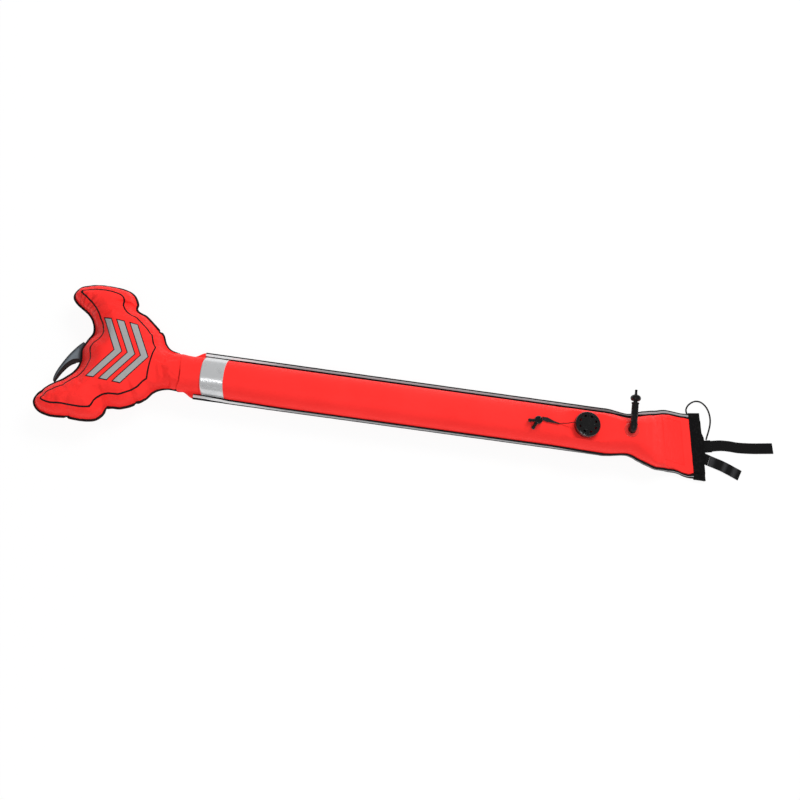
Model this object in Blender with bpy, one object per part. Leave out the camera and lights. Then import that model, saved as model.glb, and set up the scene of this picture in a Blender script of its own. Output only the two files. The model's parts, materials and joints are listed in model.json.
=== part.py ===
"""Inflatable surface marker buoy: a welded fabric tube with a hammer-shaped head, lying on its belly.

Metres, +Z up. The origin is on the underside of the mouth's lower lip, on the tube's centreline.
+X runs from the head to the open mouth and its straps, and the floor is z = 0.
"""

import math

import bmesh
import bpy
from mathutils import Matrix, Vector
from mathutils.geometry import delaunay_2d_cdt

MM = 0.001

# Fabric, seams and clearances
GAP = 0.3 * MM  # between two pieces that touch
WALL = 0.8 * MM  # coated fabric of the tube and the head
BINDING_WALL = 0.9 * MM
PIPING_WALL = 0.35 * MM
TAPE_WALL = 0.35 * MM

# Tube: an oval bulge between two flat welded flanges
TUBE_LENGTH = 1080 * MM  # the mouth's outer edge to where the bindings and the tape begin
BULGE_HALF_WIDTH = 39.5 * MM
CROWN_HEIGHT = 36.0 * MM  # seam plane to crown, and seam plane to belly
FLANGE_WIDTH = 12.2 * MM
BELLY_CLEARANCE = 0.8 * MM  # the belly over the floor, room for the tape under it
PINCH_X = -160 * MM
PINCH_LENGTH = 55 * MM  # over which the edges draw in
MOUTH_X = 13 * MM
MOUTH_LEFT_REACH, MOUTH_RIGHT_REACH = 76.3 * MM, 67.0 * MM  # centreline to each edge of the mouth
LEFT_FLARE_MM = [  # per cent of the way from the pinch to the mouth band, and the edge's distance to the centreline
    (-7, 46.4), (1, 47.4), (14, 55.0), (28, 61.2), (43, 67.0), (54, 72.6), (67, 75.6), (88, 75.3),
]
RIGHT_FLARE_MM = [
    (-2, 45.0), (7, 47.5), (14, 52.2), (27, 58.3), (40, 62.7), (52, 62.0), (68, 60.9), (77, 62.1), (86, 65.6),
]
MOUTH_SLANT = math.tan(math.radians(6.7))
MOUTH_OPENING = 5.0 * MM  # between the two lips
FLAT_START, FLAT_END = 10 * MM, 20 * MM  # pinch to the first flattening, and flat end to the mouth band
SEAT_MARGIN = 2 * MM  # level crown round the valve and the inflator
VALVE_RUN_IN = 45 * MM  # over which the crown draws down to the valve
INFLATOR_RUN_IN = 12 * MM
BAND_WIDTH = 26 * MM
BAND_OVERHANG = 1.8 * MM  # of the mouth band past the tube's edges
BINDING_WIDTH = 11 * MM
PIPING_WIDTH = 6 * MM
PIPING_INSET = 2.6 * MM  # binding's outer edge to the piping
TAPE_WIDTH = 50 * MM
TAPE_INSET = 1.2 * MM  # collar's seam to the tape
BAFFLE_INSET = 9 * MM  # mouth band to the duckbill
BAFFLE_SIDE_INSET = 6 * MM
BAFFLE_LENGTH = 90 * MM
BAFFLE_WALL = 0.4 * MM
STRAIGHT_STEP = 105 * MM  # between the panels' rows of points where the tube is straight

# Cross-sections of the tube: the exponent of the oval, and the share of its width that is level
ROUND_SHAPE = (2.0, 0.0)
VALVE_SEAT_SHAPE = (3.2, 0.708)
INFLATOR_SEAT_SHAPE = (2.4, 0.5)
MOUTH_SHAPE = (6.0, 0.867)

# Neck collar and head
COLLAR_LENGTH = 39 * MM
COLLAR_STEP = 20 * MM
HEAD_PIVOT_INSET = 5 * MM  # the head's end to the point that its own outline is measured from
HEAD_YAW = math.radians(-4.3)
HEAD_CROWN = 42 * MM
HEAD_ROUNDING = 60 * MM  # how far in from the seam the head reaches its full depth
HEAD_SEAM_WIDTH = 6 * MM
HEAD_TRIM_WALL = 0.6 * MM
HEAD_TRIM_WIDTH = 4.6 * MM
NECK_LENGTH = 80 * MM  # over this length the head's section turns into the collar's
NECK_TAPER = 28 * MM  # over this length the head's flat seam runs out at the neck
HEAD_GRID = 17 * MM  # between the points that fill the head's panels
SEAM_ROW_STEP = 5 * MM  # from the flat seam to the first row of points on the bulge
OUTLINE_STEP = 12 * MM
HEAD_OUTLINE_MM = [
    (-28, 44), (-43, 55), (-54, 74), (-71, 87), (-98, 106), (-119, 114), (-123, 130), (-135, 146),
    (-155, 154), (-190, 155), (-222, 150), (-249, 138), (-258, 117), (-248, 101), (-218, 83),
    (-203, 66), (-197, 45), (-204, 26), (-209, 4), (-205, -20), (-210, -42), (-229, -64),
    (-254, -86), (-268, -106), (-271, -124), (-257, -140), (-232, -146), (-200, -143), (-166, -142),
    (-141, -136), (-128, -122), (-121, -106), (-96, -101), (-73, -88), (-54, -72), (-40, -52),
    (-18, -41),
]
FIN_OUTLINE_MM = [
    (-208, 24), (-219, 9), (-230, -11), (-238, -31), (-244, -50), (-246, -66), (-243, -74),
    (-239, -65), (-234, -52), (-225, -36), (-216, -27), (-210, -25),
]
FIN_ROOT_TOP_Y, FIN_ROOT_LOW_Y = 38 * MM, -9 * MM
FIN_ROOT_REACH = 60 * MM  # the root lies at least this far in front of the head's pivot
FIN_WALL = 3.2 * MM

# Relief valve on the crown
VALVE_X, VALVE_Y = -261.2 * MM, -1.3 * MM
VALVE_SEAT_DROP = 6.0 * MM  # the crown is drawn flat this much lower under the valve
VALVE_RADIUS = 26.6 * MM
VALVE_PORT_RADIUS = 15.5 * MM
VALVE_NECK_DEPTH = 6.0 * MM
VALVE_FLANGE_WALL = 2.5 * MM
VALVE_CLAMP_INSET = 5 * MM  # the flange's edge to the gasket's and the nut's
GASKET_WALL = 1.2 * MM
NUT_WALL = 3.0 * MM
SEAT_RADIUS = 12.0 * MM
SEAT_LIP, SEAT_LIP_WALL = 1.2 * MM, 1.6 * MM
SPIDER_HUB_RADIUS, SPIDER_WALL = 3.4 * MM, 2.0 * MM
SPOKE_COUNT, SPOKE_WIDTH, SPOKE_WALL = 3, 2.2 * MM, 1.4 * MM
SPOKE_ROOT = 0.8 * MM  # how far a spoke reaches into the hub and into the neck
DISC_RADIUS = 15.0 * MM
DISC_WALL = 1.6 * MM
DISC_LIFT = 2.0 * MM
COVER_HEIGHT = 10.7 * MM
COVER_WALL = 1.6 * MM
COVER_CHAMFER = 2 * MM
STEM_RADIUS, STEM_PLAY, STEM_TAIL = 1.3 * MM, 0.2 * MM, 1.5 * MM
VENT_COUNT, VENT_RADIUS, VENT_CIRCLE = 8, 2.4 * MM, 17.6 * MM
VALVE_SPRING_RADIUS, VALVE_SPRING_WIRE, VALVE_SPRING_TURNS = 5.6 * MM, 0.6 * MM, 3

# Pull cord of the relief valve
PULL_CORD_RADIUS = 0.8 * MM
CORD_EYE_OFFSET, CORD_EYE_RADIUS = 10 * MM, 1.1 * MM  # the post on the disc that the cord pulls
CORD_HOLE_PLAY = 0.5 * MM
CORD_DROP = 2.0 * MM  # the cover's ceiling to the cord
CORD_ROUTE_MM = [(-303, -4.1, 6.0), (-312, -5.2, 3.4), (-320, -6.6, 1.4)]  # x, y and height over the crown
SLEEVE_LENGTH, SLEEVE_WALL, SLEEVE_LIFT = 36.4 * MM, 1.2 * MM, 0.5 * MM
SLEEVE_START_WIDTH, SLEEVE_END_WIDTH, SLEEVE_DRIFT = 2.2 * MM, 12 * MM, 5.2 * MM
TOGGLE_RADIUS = 8.5 * MM
TOGGLE_HEIGHT = 9 * MM
TOGGLE_DRIFT = -0.4 * MM
TOGGLE_PEG_MM, TOGGLE_PEG_RADIUS = (-21.5, -3.6, -0.4), 3.9 * MM
TOGGLE_LOBE_MM, TOGGLE_LOBE_RADIUS = (-10.5, -19.5, -4.8), 4.4 * MM

# Oral inflator near the pinch
INFLATOR_X, INFLATOR_Y = -164.8 * MM, 2.7 * MM
INFLATOR_SEAT_DROP = 4.0 * MM
INFLATOR_TILT = math.radians(5)
INFLATOR_FLANGE_RADIUS = 16 * MM
INFLATOR_FLANGE_WALL = 1.2 * MM
PORT_RADIUS = 5.0 * MM
FLANGE_LIP = 1 * MM  # the welded base's hole is this much narrower than the port
FLANGE_EDGE_WIDTH, FLANGE_EDGE_SHARE = 3 * MM, 0.6  # its edge is thinner than its middle
ELBOW_WALL, ELBOW_LEDGE = 0.7 * MM, 0.5 * MM  # outside the barrel's skin, and inside its bore
ELBOW_BEND_PLAY, ELBOW_RISE = 0.4 * MM, 2.6 * MM
BARREL_START = 10 * MM  # from the port's axis
BARREL_RADIUS, BARREL_BORE = 6.7 * MM, 4.9 * MM
BARREL_LENGTH = 34 * MM
BARREL_STEP = 0.8 * MM  # the barrel is thinner under its grip
POPPET_SEAT_START, POPPET_SEAT_WALL, POPPET_SEAT_BORE = 8 * MM, 2 * MM, 3.0 * MM
GRIP_WALL = 1.1 * MM
GRIP_LENGTH = 25 * MM
GRIP_OVERLAP = 14 * MM  # of the grip on the barrel
GRIP_BEAD, GRIP_BEAD_LENGTH, GRIP_END_WALL = 0.7 * MM, 2 * MM, 2.5 * MM
MOUTHPIECE_RADIUS = 10.9 * MM
MOUTHPIECE_LENGTH = 13 * MM
MOUTHPIECE_TRAVEL = 4 * MM
MOUTHPIECE_NECK, SLIDE_PLAY = 4.4 * MM, 0.25 * MM
MOUTHPIECE_DEPTH = 8 * MM  # how far its neck reaches into the barrel
NIB_RADIUS, NIB_BORE, NIB_LENGTH = 2.7 * MM, 1.3 * MM, 10.5 * MM
POPPET_WALL, POPPET_PLAY, POPPET_ROD_RADIUS = 1.6 * MM, 0.6 * MM, 1.0 * MM
SEAL_WALL, SEAL_PLAY = 1.6 * MM, 0.1 * MM
INFLATOR_SPRING_RADIUS, INFLATOR_SPRING_WIRE, INFLATOR_SPRING_TURNS = 3.6 * MM, 0.6 * MM, 5

# Straps and bungee at the mouth
STRAP_WALL = 1.6 * MM
STRAP_FLOOR = 0.15 * MM
STRAP_WIDTH = 24 * MM
TAB_WIDTH = 27 * MM
TAB_EXTRA_WALL = 0.2 * MM
SHORT_STRAP_BOW = 1.5 * MM  # how high the short strap's middle lies off the floor
LONG_STRAP_MM = [(35, 12.0), (55, 16.0), (75, 17.0), (95, 16.5), (125, 19.0), (150, 22.5), (173, 26.0)]
SHORT_STRAP_MM = [(30, -21.5), (55, -29.0), (77, -37.0), (99, -45.5)]
BUNGEE_RADIUS = 1.75 * MM
BUNGEE_MM = [
    (-23, 76.8, 4.5), (-24, 81, 3.4), (-24, 88, 2.2), (-20, 97, 1.95), (-12, 105, 1.95), (-2, 109.5, 1.95),
    (9, 108.5, 1.95), (19, 101.5, 1.95), (26, 91, 1.95), (30, 78, 1.95), (31, 65, 1.95), (29.5, 53, 1.95),
    (27, 42, 1.95), (24.5, 33, 1.95), (23, 26.6, 1.95),
]

# Values that follow from the sizes above
FLANGE_Z = GAP / 2 + WALL  # outer face of a welded flange over the seam plane
BAND_INNER_X = MOUTH_X - BAND_WIDTH
PANEL_END_X = MOUTH_X - BINDING_WALL - GAP
LIP_DEPTH = MOUTH_OPENING / 2 + WALL
TUBE_START_X = MOUTH_X - TUBE_LENGTH
COLLAR_START_X = TUBE_START_X - GAP - COLLAR_LENGTH
HEAD_END_X = COLLAR_START_X - 2 * GAP
HEAD_PIVOT_X = HEAD_END_X - HEAD_PIVOT_INSET
HEAD_EDGE_INSET = HEAD_TRIM_WALL + GAP  # the head's outline to the edge of its panels
SEAM_Z = BELLY_CLEARANCE + CROWN_HEIGHT
VALVE_SEAT_Z = SEAM_Z + CROWN_HEIGHT - VALVE_SEAT_DROP
VALVE_REACH = VALVE_RADIUS + SEAT_MARGIN
VALVE_START_X = VALVE_X - VALVE_REACH - VALVE_RUN_IN
INFLATOR_START_X = INFLATOR_X - INFLATOR_FLANGE_RADIUS - SEAT_MARGIN
INFLATOR_SEAT_Z = SEAM_Z + CROWN_HEIGHT - INFLATOR_SEAT_DROP
GRIP_RADIUS = BARREL_RADIUS - BARREL_STEP + GAP + GRIP_WALL

# Heights over the valve's seat
VALVE_FLANGE_LOW = GAP + GASKET_WALL + GAP
VALVE_FLANGE_TOP = VALVE_FLANGE_LOW + VALVE_FLANGE_WALL
COVER_LOW = VALVE_FLANGE_TOP + GAP
COVER_TOP = COVER_LOW + COVER_HEIGHT
COVER_CEILING = COVER_TOP - COVER_WALL
CORD_Z = VALVE_SEAT_Z + COVER_CEILING - CORD_DROP - PULL_CORD_RADIUS  # over the floor


def ease(share):
    """A smooth step from 0 to 1."""
    share = min(max(share, 0.0), 1.0)
    return share * share * (3 - 2 * share)


def along(keys, x):
    """The value at x on a smooth line through keys, a list of (x, value) in rising x."""
    if x <= keys[0][0]:
        return keys[0][1]
    for (x0, v0), (x1, v1) in zip(keys, keys[1:]):
        if x <= x1:
            return v0 + (v1 - v0) * ease((x - x0) / (x1 - x0))
    return keys[-1][1]


def flowing(keys, x):
    """The value at x on a curve through keys, a list of (x, value) in rising x, that is level at its ends."""
    if x <= keys[0][0]:
        return keys[0][1]
    (x0, v0), (x1, v1), (x2, v2), (x3, v3) = keys[0], keys[1], keys[-2], keys[-1]
    padded = [(2 * x0 - x1, v1), *keys, (2 * x3 - x2, v2)]
    for before, (start, low), (end, high), after in zip(padded, padded[1:], padded[2:], padded[3:]):
        if x <= end:
            span = end - start
            t = (x - start) / span
            first = span * (high - before[1]) / (end - before[0])
            last = span * (after[1] - low) / (after[0] - start)
            return low + (high - low) * ease(t) + first * t * (1 - t) ** 2 - last * t * t * (1 - t)
    return v3


def curve_through(points, steps):
    """Points on a smooth Catmull-Rom curve through the given ones, steps to each stretch."""
    padded = [2 * points[0] - points[1], *points, 2 * points[-1] - points[-2]]
    route = []
    for a, b, c, d in zip(padded, padded[1:], padded[2:], padded[3:]):
        for k in range(steps):
            t = k / steps
            route.append(
                0.5 * (2 * b + (c - a) * t + (2 * a - 5 * b + 4 * c - d) * t**2 + (3 * b - a - 3 * c + d) * t**3)
            )
    return [*route, points[-1]]


def even_steps(points, step):
    """The same line with its points about one step apart."""
    lengths = [(b - a).length for a, b in zip(points, points[1:])]
    count = max(2, round(sum(lengths) / step))
    stride = sum(lengths) / count
    route, walked, target = [points[0]], 0.0, stride
    for a, b, length in zip(points, points[1:], lengths):
        while length > 0 and target <= walked + length and len(route) < count:
            route.append(a.lerp(b, (target - walked) / length))
            target += stride
        walked += length
    return [*route, points[-1]]


def finish_material(name, colour, roughness, metallic=0.0):
    """A Principled material with one colour, roughness and metallic value."""
    found = bpy.data.materials.get(name) or bpy.data.materials.new(name)
    found.use_nodes = True
    shader = found.node_tree.nodes["Principled BSDF"]
    shader.inputs["Base Color"].default_value = (*colour, 1.0)
    shader.inputs["Roughness"].default_value = roughness
    shader.inputs["Metallic"].default_value = metallic
    return found


def red_fabric():
    return finish_material("red_fabric", (0.95, 0.05, 0.035), 0.5)


def black_fabric():
    return finish_material("black_fabric", (0.015, 0.015, 0.017), 0.8)


def webbing():
    return finish_material("webbing", (0.012, 0.012, 0.013), 0.85)


def reflective():
    return finish_material("reflective", (0.6, 0.61, 0.62), 0.35, 0.4)


def fin_fabric():
    return finish_material("fin_fabric", (0.09, 0.12, 0.15), 0.6)


def black_plastic():
    return finish_material("black_plastic", (0.012, 0.012, 0.013), 0.3)


def red_plastic():
    return finish_material("red_plastic", (0.75, 0.05, 0.04), 0.25)


def rubber():
    return finish_material("rubber", (0.02, 0.02, 0.02), 0.7)


def spring_steel():
    return finish_material("spring_steel", (0.6, 0.6, 0.6), 0.3, 1.0)


def add_object(name, bm, material, location=(0, 0, 0), turn=None):
    """An object of this bmesh, placed by its location and rotation."""
    bmesh.ops.recalc_face_normals(bm, faces=bm.faces)
    mesh = bpy.data.meshes.new(name)
    bm.to_mesh(mesh)
    bm.free()
    mesh.materials.append(material)
    mesh.shade_smooth()
    mesh.set_sharp_from_angle(angle=math.radians(35))
    made = bpy.data.objects.new(name, mesh)
    made.location = location
    if turn is not None:
        made.rotation_euler = turn.to_euler()
    bpy.context.scene.collection.objects.link(made)
    return made


def grid_bmesh(rows):
    """An open sheet of quads through rows of points."""
    bm = bmesh.new()
    lines = [[bm.verts.new(point) for point in row] for row in rows]
    for low, high in zip(lines, lines[1:]):
        for a, b, c, d in zip(low, low[1:], high[1:], high):
            bm.faces.new((a, b, c, d))
    return bm


def loft_bmesh(loops):
    """A closed body through equal loops of points, capped at its ends."""
    bm = bmesh.new()
    rings = [[bm.verts.new(point) for point in loop] for loop in loops]
    for low, high in zip(rings, rings[1:]):
        for k in range(len(low)):
            n = (k + 1) % len(low)
            bm.faces.new((low[k], low[n], high[n], high[k]))
    bm.faces.new(list(reversed(rings[0])))
    bm.faces.new(rings[-1])
    return bm


def pipe_bmesh(outer_loops, inner_loops):
    """An open-ended pipe between an outer and an inner row of equal loops."""
    bm = bmesh.new()
    outer, inner = ([[bm.verts.new(p) for p in loop] for loop in loops] for loops in (outer_loops, inner_loops))
    sides = range(len(outer_loops[0]))
    for wall in (outer, inner):
        for low, high in zip(wall, wall[1:]):
            for k in sides:
                bm.faces.new((low[k], low[k - 1], high[k - 1], high[k]))
    for rim in (0, -1):
        for k in sides:
            bm.faces.new((outer[rim][k], outer[rim][k - 1], inner[rim][k - 1], inner[rim][k]))
    return bm


def turned_bmesh(profile, steps=24):
    """A body turned round Z from (radius, z) points; a profile off the axis closes on itself."""
    bm = bmesh.new()
    verts = [bm.verts.new((radius, 0, z)) for radius, z in profile]
    edges = [bm.edges.new(pair) for pair in zip(verts, verts[1:])]
    if profile[0][0] > 0:
        edges.append(bm.edges.new((verts[-1], verts[0])))
    bmesh.ops.spin(
        bm, geom=[*verts, *edges], cent=(0, 0, 0), axis=(0, 0, 1), angle=math.tau, steps=steps, use_merge=True
    )
    bmesh.ops.remove_doubles(bm, verts=bm.verts, dist=0.001 * MM)
    return bm


def rod_bmesh(radius, low, high, steps=16):
    """A plain round rod along Z."""
    return turned_bmesh([(0, low), (radius, low), (radius, high), (0, high)], steps)


def solidify(made, wall):
    """Give a sheet its wall, inwards from the face that was drawn."""
    modifier = made.modifiers.new("wall", "SOLIDIFY")
    modifier.thickness = wall
    modifier.offset = -1
    modifier.use_even_offset = True
    return made


def boolean(made, other, operation):
    """Cut or join another object, which is then only a guide."""
    modifier = made.modifiers.new(operation.lower(), "BOOLEAN")
    modifier.operation = operation
    modifier.object = other
    modifier.solver = "EXACT"
    other.hide_render = True
    other.display_type = "WIRE"


def tube_object(name, points, radius, material, resolution=2):
    """A round cord or wire along a line of points."""
    curve = bpy.data.curves.new(name, "CURVE")
    curve.dimensions = "3D"
    spline = curve.splines.new("POLY")
    spline.points.add(len(points) - 1)
    for point, place in zip(spline.points, points):
        point.co = (*place, 1)
    curve.bevel_depth = radius
    curve.bevel_resolution = resolution
    curve.use_fill_caps = True
    curve.materials.append(material)
    made = bpy.data.objects.new(name, curve)
    bpy.context.scene.collection.objects.link(made)
    return made


def coil_points(radius, length, turns, steps_per_turn=9):
    """Points of a round coil spring that rises along Z from 0."""
    count = turns * steps_per_turn
    return [
        Vector(
            (
                radius * math.cos(math.tau * k / steps_per_turn),
                radius * math.sin(math.tau * k / steps_per_turn),
                length * k / count,
            )
        )
        for k in range(count + 1)
    ]


# The tube's shape, as functions of the place along it


def edge_reach(x, flare, mouth_reach):
    """How far one edge of the tube lies from the straight tube's centreline."""
    straight = (PINCH_X - PINCH_LENGTH, BULGE_HALF_WIDTH + FLANGE_WIDTH)
    flare_length = BAND_INNER_X - PINCH_X
    spread = [(PINCH_X + flare_length * share / 100, reach * MM) for share, reach in flare]
    return flowing([straight, *spread, (BAND_INNER_X, mouth_reach)], x)


def half_width(x):
    """Half width over the flanges."""
    left, right = edge_reach(x, LEFT_FLARE_MM, MOUTH_LEFT_REACH), edge_reach(x, RIGHT_FLARE_MM, MOUTH_RIGHT_REACH)
    return (left + right) / 2


def drift(x):
    """The place in Y of the middle between the two edges."""
    left, right = edge_reach(x, LEFT_FLARE_MM, MOUTH_LEFT_REACH), edge_reach(x, RIGHT_FLARE_MM, MOUTH_RIGHT_REACH)
    return (left - right) / 2


def flatness(x):
    """0 where the tube is full, 1 where its end lies flat."""
    return ease((x - PINCH_X - FLAT_START) / (BAND_INNER_X - FLAT_END - PINCH_X))


def belly_depth(x):
    """Seam plane to the belly."""
    return CROWN_HEIGHT + (LIP_DEPTH - CROWN_HEIGHT) * flatness(x)


def seam_height(x):
    """The welded seam's height: the belly stays on the floor while the tube flattens."""
    lip_clearance = BINDING_WALL + GAP
    clearance = BELLY_CLEARANCE + (lip_clearance - BELLY_CLEARANCE) * flatness(x)
    return clearance + belly_depth(x)


def crown_depth(x):
    """Seam plane to the crown, which is drawn level and lower under the valve and the inflator."""
    full = along(
        [
            (VALVE_START_X, CROWN_HEIGHT),
            (VALVE_X - VALVE_REACH, CROWN_HEIGHT - VALVE_SEAT_DROP),
            (VALVE_X + VALVE_REACH, CROWN_HEIGHT - VALVE_SEAT_DROP),
            (INFLATOR_START_X - INFLATOR_RUN_IN, CROWN_HEIGHT - INFLATOR_SEAT_DROP / 2),
            (INFLATOR_START_X, CROWN_HEIGHT - INFLATOR_SEAT_DROP),
        ],
        x,
    )
    return full + (LIP_DEPTH - full) * flatness(x)


def crown_shape(x):
    """The crown's exponent and the share of its width that is level."""
    places = (VALVE_START_X, VALVE_X - VALVE_REACH, VALVE_X + VALVE_REACH, INFLATOR_START_X)
    shapes = (ROUND_SHAPE, VALVE_SEAT_SHAPE, VALVE_SEAT_SHAPE, INFLATOR_SEAT_SHAPE)
    full = [along([(spot, shape[k]) for spot, shape in zip(places, shapes)], x) for k in range(2)]
    return tuple(value + (end - value) * flatness(x) for value, end in zip(full, MOUTH_SHAPE))


def belly_shape(x):
    """The belly's exponent and the share of its width that is level."""
    return tuple(value + (end - value) * flatness(x) for value, end in zip(ROUND_SHAPE, MOUTH_SHAPE))


def oval(share, exponent, flat):
    """Height of the bulge, 0 to 1, at a share of its half width."""
    full = (1 - min(abs(share), 1.0) ** exponent) ** (1 / exponent)
    cap = (1 - flat**exponent) ** (1 / exponent)
    return min(full, cap) / cap


def bulge_half_width(x):
    """Half width of the tube between its flanges."""
    return half_width(x) - FLANGE_WIDTH


def place(x, y, z):
    """A point of the tube, with the slant of its mouth."""
    lean = MOUTH_SLANT * ease((x - PINCH_X) / (BAND_INNER_X - PINCH_X))
    return Vector((x - lean * (y - drift(x)), y, z))


def skin_height(x, y, side, outwards=0.0):
    """Height of the panel's outer face, pushed outwards; side is 1 on the crown and -1 on the belly."""
    share = (y - drift(x)) / bulge_half_width(x)
    depth = crown_depth(x) if side > 0 else belly_depth(x)
    shape = crown_shape(x) if side > 0 else belly_shape(x)
    rise = oval(share, *shape) * (depth - FLANGE_Z) if abs(share) < 1 else 0.0
    return seam_height(x) + side * (FLANGE_Z + rise + outwards)


def skin_row(x, side, outwards=0.0, reach=None, steps=12):
    """A row of points across one panel, flange to flange, or over the bulge alone without a reach."""
    width = bulge_half_width(x) + outwards
    depth = crown_depth(x) if side > 0 else belly_depth(x)
    shape = crown_shape(x) if side > 0 else belly_shape(x)
    row = []
    for k in range(steps + 1):
        share = -math.cos(math.pi * k / steps)
        rise = oval(share, *shape) * (depth - FLANGE_Z)
        z = seam_height(x) + side * (FLANGE_Z + rise + outwards)
        row.append(place(x, drift(x) + width * share, z))
    if reach is not None:
        flange_z = seam_height(x) + side * (FLANGE_Z + outwards)
        edge = half_width(x) - reach
        row = [place(x, drift(x) - edge, flange_z), *row, place(x, drift(x) + edge, flange_z)]
    return row


def stations(start, end, step):
    """Places from start to end, evenly spaced at about one step."""
    count = max(1, round((end - start) / step))
    return [start + (end - start) * k / count for k in range(count + 1)]


def flare_stations():
    """Places from where the tube starts to narrow to the mouth band."""
    return [*stations(PINCH_X - PINCH_LENGTH, PINCH_X, 11 * MM), *stations(PINCH_X, BAND_INNER_X, 12 * MM)[1:]]


def tube_stations(with_valve):
    """Places along the whole tube, close together where its shape changes."""
    flare = flare_stations()
    if not with_valve:
        return [*stations(TUBE_START_X, flare[0], STRAIGHT_STEP), *flare[1:], PANEL_END_X]
    straight = stations(TUBE_START_X, VALVE_START_X, STRAIGHT_STEP)
    seat = stations(VALVE_START_X, VALVE_X + VALVE_REACH, 15 * MM)[1:]
    return [*straight, *seat, *flare, PANEL_END_X]


def make_cutter(name, radius, location):
    """A short upright cylinder that only cuts."""
    return add_object(name, rod_bmesh(radius, -8 * MM, 8 * MM), black_plastic(), location)


def make_tube_panels():
    """The two long fabric panels, welded flange to flange in the real thing."""
    edge = BINDING_WALL + GAP
    for name, side in (("tube_upper_panel", 1), ("tube_lower_panel", -1)):
        rows = [skin_row(x, side, 0.0, edge) for x in tube_stations(side > 0)]
        panel = solidify(add_panel(name, grid_bmesh(rows), side), WALL)
        if side > 0:
            valve_hole = make_cutter("valve_hole", VALVE_PORT_RADIUS + GAP, (VALVE_X, VALVE_Y, VALVE_SEAT_Z))
            inflator_hole = make_cutter("inflator_hole", PORT_RADIUS, (INFLATOR_X, INFLATOR_Y, INFLATOR_SEAT_Z))
            boolean(panel, valve_hole, "DIFFERENCE")
            boolean(panel, inflator_hole, "DIFFERENCE")


def add_panel(name, bm, side, material=None):
    """An open sheet whose faces point up on the crown side and down on the belly side."""
    made = add_object(name, bm, material or red_fabric())
    total = sum((face.normal.z * face.area for face in made.data.polygons), 0.0)
    if total * side < 0:
        made.data.flip_normals()
    return made


def make_seam_bindings():
    """A folded black tape over each edge of the tube, with reflective piping on both its faces."""
    line = [TUBE_START_X, *flare_stations()[:-1], BAND_INNER_X - GAP]
    inner_z, outer_z = FLANGE_Z + GAP, FLANGE_Z + GAP + BINDING_WALL
    for label, hand in (("left", 1), ("right", -1)):
        loops, upper, lower = [], [], []
        for x in line:
            edge, seam, middle = half_width(x), seam_height(x), drift(x)
            fold = [
                (edge - BINDING_WIDTH, inner_z), (edge - BINDING_WIDTH, outer_z), (edge, outer_z),
                (edge, -outer_z), (edge - BINDING_WIDTH, -outer_z), (edge - BINDING_WIDTH, -inner_z),
                (edge - BINDING_WALL, -inner_z), (edge - BINDING_WALL, inner_z),
            ]
            loops.append([place(x, middle + hand * y, seam + z) for y, z in fold])
            for strips, way in ((upper, 1), (lower, -1)):
                low = outer_z + GAP
                high = low + PIPING_WALL
                far, near = edge - PIPING_INSET, edge - PIPING_INSET - PIPING_WIDTH
                corners = [(near, low), (far, low), (far, high), (near, high)]
                strips.append([place(x, middle + hand * y, seam + way * z) for y, z in corners])
        add_object(f"seam_binding_{label}", loft_bmesh(loops), black_fabric())
        add_object(f"reflective_piping_{label}_upper", loft_bmesh(upper), reflective())
        add_object(f"reflective_piping_{label}_lower", loft_bmesh(lower), reflective())


def make_tape():
    """Silver tape round the head end of the tube, a patch on each panel."""
    for name, side in (("reflective_tape_upper", 1), ("reflective_tape_lower", -1)):
        rows = []
        for x in (TUBE_START_X + TAPE_INSET, TUBE_START_X + TAPE_INSET + TAPE_WIDTH):
            row = skin_row(x, side, GAP + TAPE_WALL, None, 16)
            rows.append(row[1:-1])
        solidify(add_panel(name, grid_bmesh(rows), side, reflective()), TAPE_WALL)


def make_mouth_bands():
    """A black band folded over each lip of the mouth."""
    for name, side in (("mouth_band_upper", 1), ("mouth_band_lower", -1)):
        loops = []
        outer = skin_row(0.0, side, GAP + BINDING_WALL, -BAND_OVERHANG)
        for point in outer:
            y = point.y
            share = (y - drift(MOUTH_X)) / bulge_half_width(MOUTH_X)
            skin = skin_height(MOUTH_X, y, side)
            fold = min(WALL + GAP, abs(skin - seam_height(MOUTH_X)) - GAP / 2)
            outer_z = skin + side * (GAP + BINDING_WALL)
            inner_z = skin + side * GAP
            turn_z = skin - side * (fold if abs(share) >= 1 else WALL)
            section = [
                (BAND_INNER_X, inner_z), (BAND_INNER_X, outer_z), (MOUTH_X, outer_z),
                (MOUTH_X, turn_z), (MOUTH_X - BINDING_WALL, turn_z), (MOUTH_X - BINDING_WALL, inner_z),
            ]
            loops.append([place(x, y, z) for x, z in section])
        add_object(name, loft_bmesh(loops), black_fabric())


def make_duckbill():
    """Two thin sheets inside the mouth that close on each other and keep the air in."""
    start = BAND_INNER_X - BAFFLE_INSET
    for name, side in (("duckbill_upper", 1), ("duckbill_lower", -1)):
        rows = []
        for x in reversed(stations(start - BAFFLE_LENGTH, start, 18 * MM)):
            share = ease((start - x) / (BAFFLE_LENGTH * 0.7))
            spread = (LIP_DEPTH - WALL - GAP) * (1 - share) + (BAFFLE_WALL + GAP) * share
            width = bulge_half_width(x) - BAFFLE_SIDE_INSET
            z = seam_height(x) + side * spread
            rows.append([place(x, drift(x) + width * y, z) for y in (-1, -0.5, 0, 0.5, 1)])
        solidify(add_panel(name, grid_bmesh(rows), side), BAFFLE_WALL)


# Neck collar and head


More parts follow.
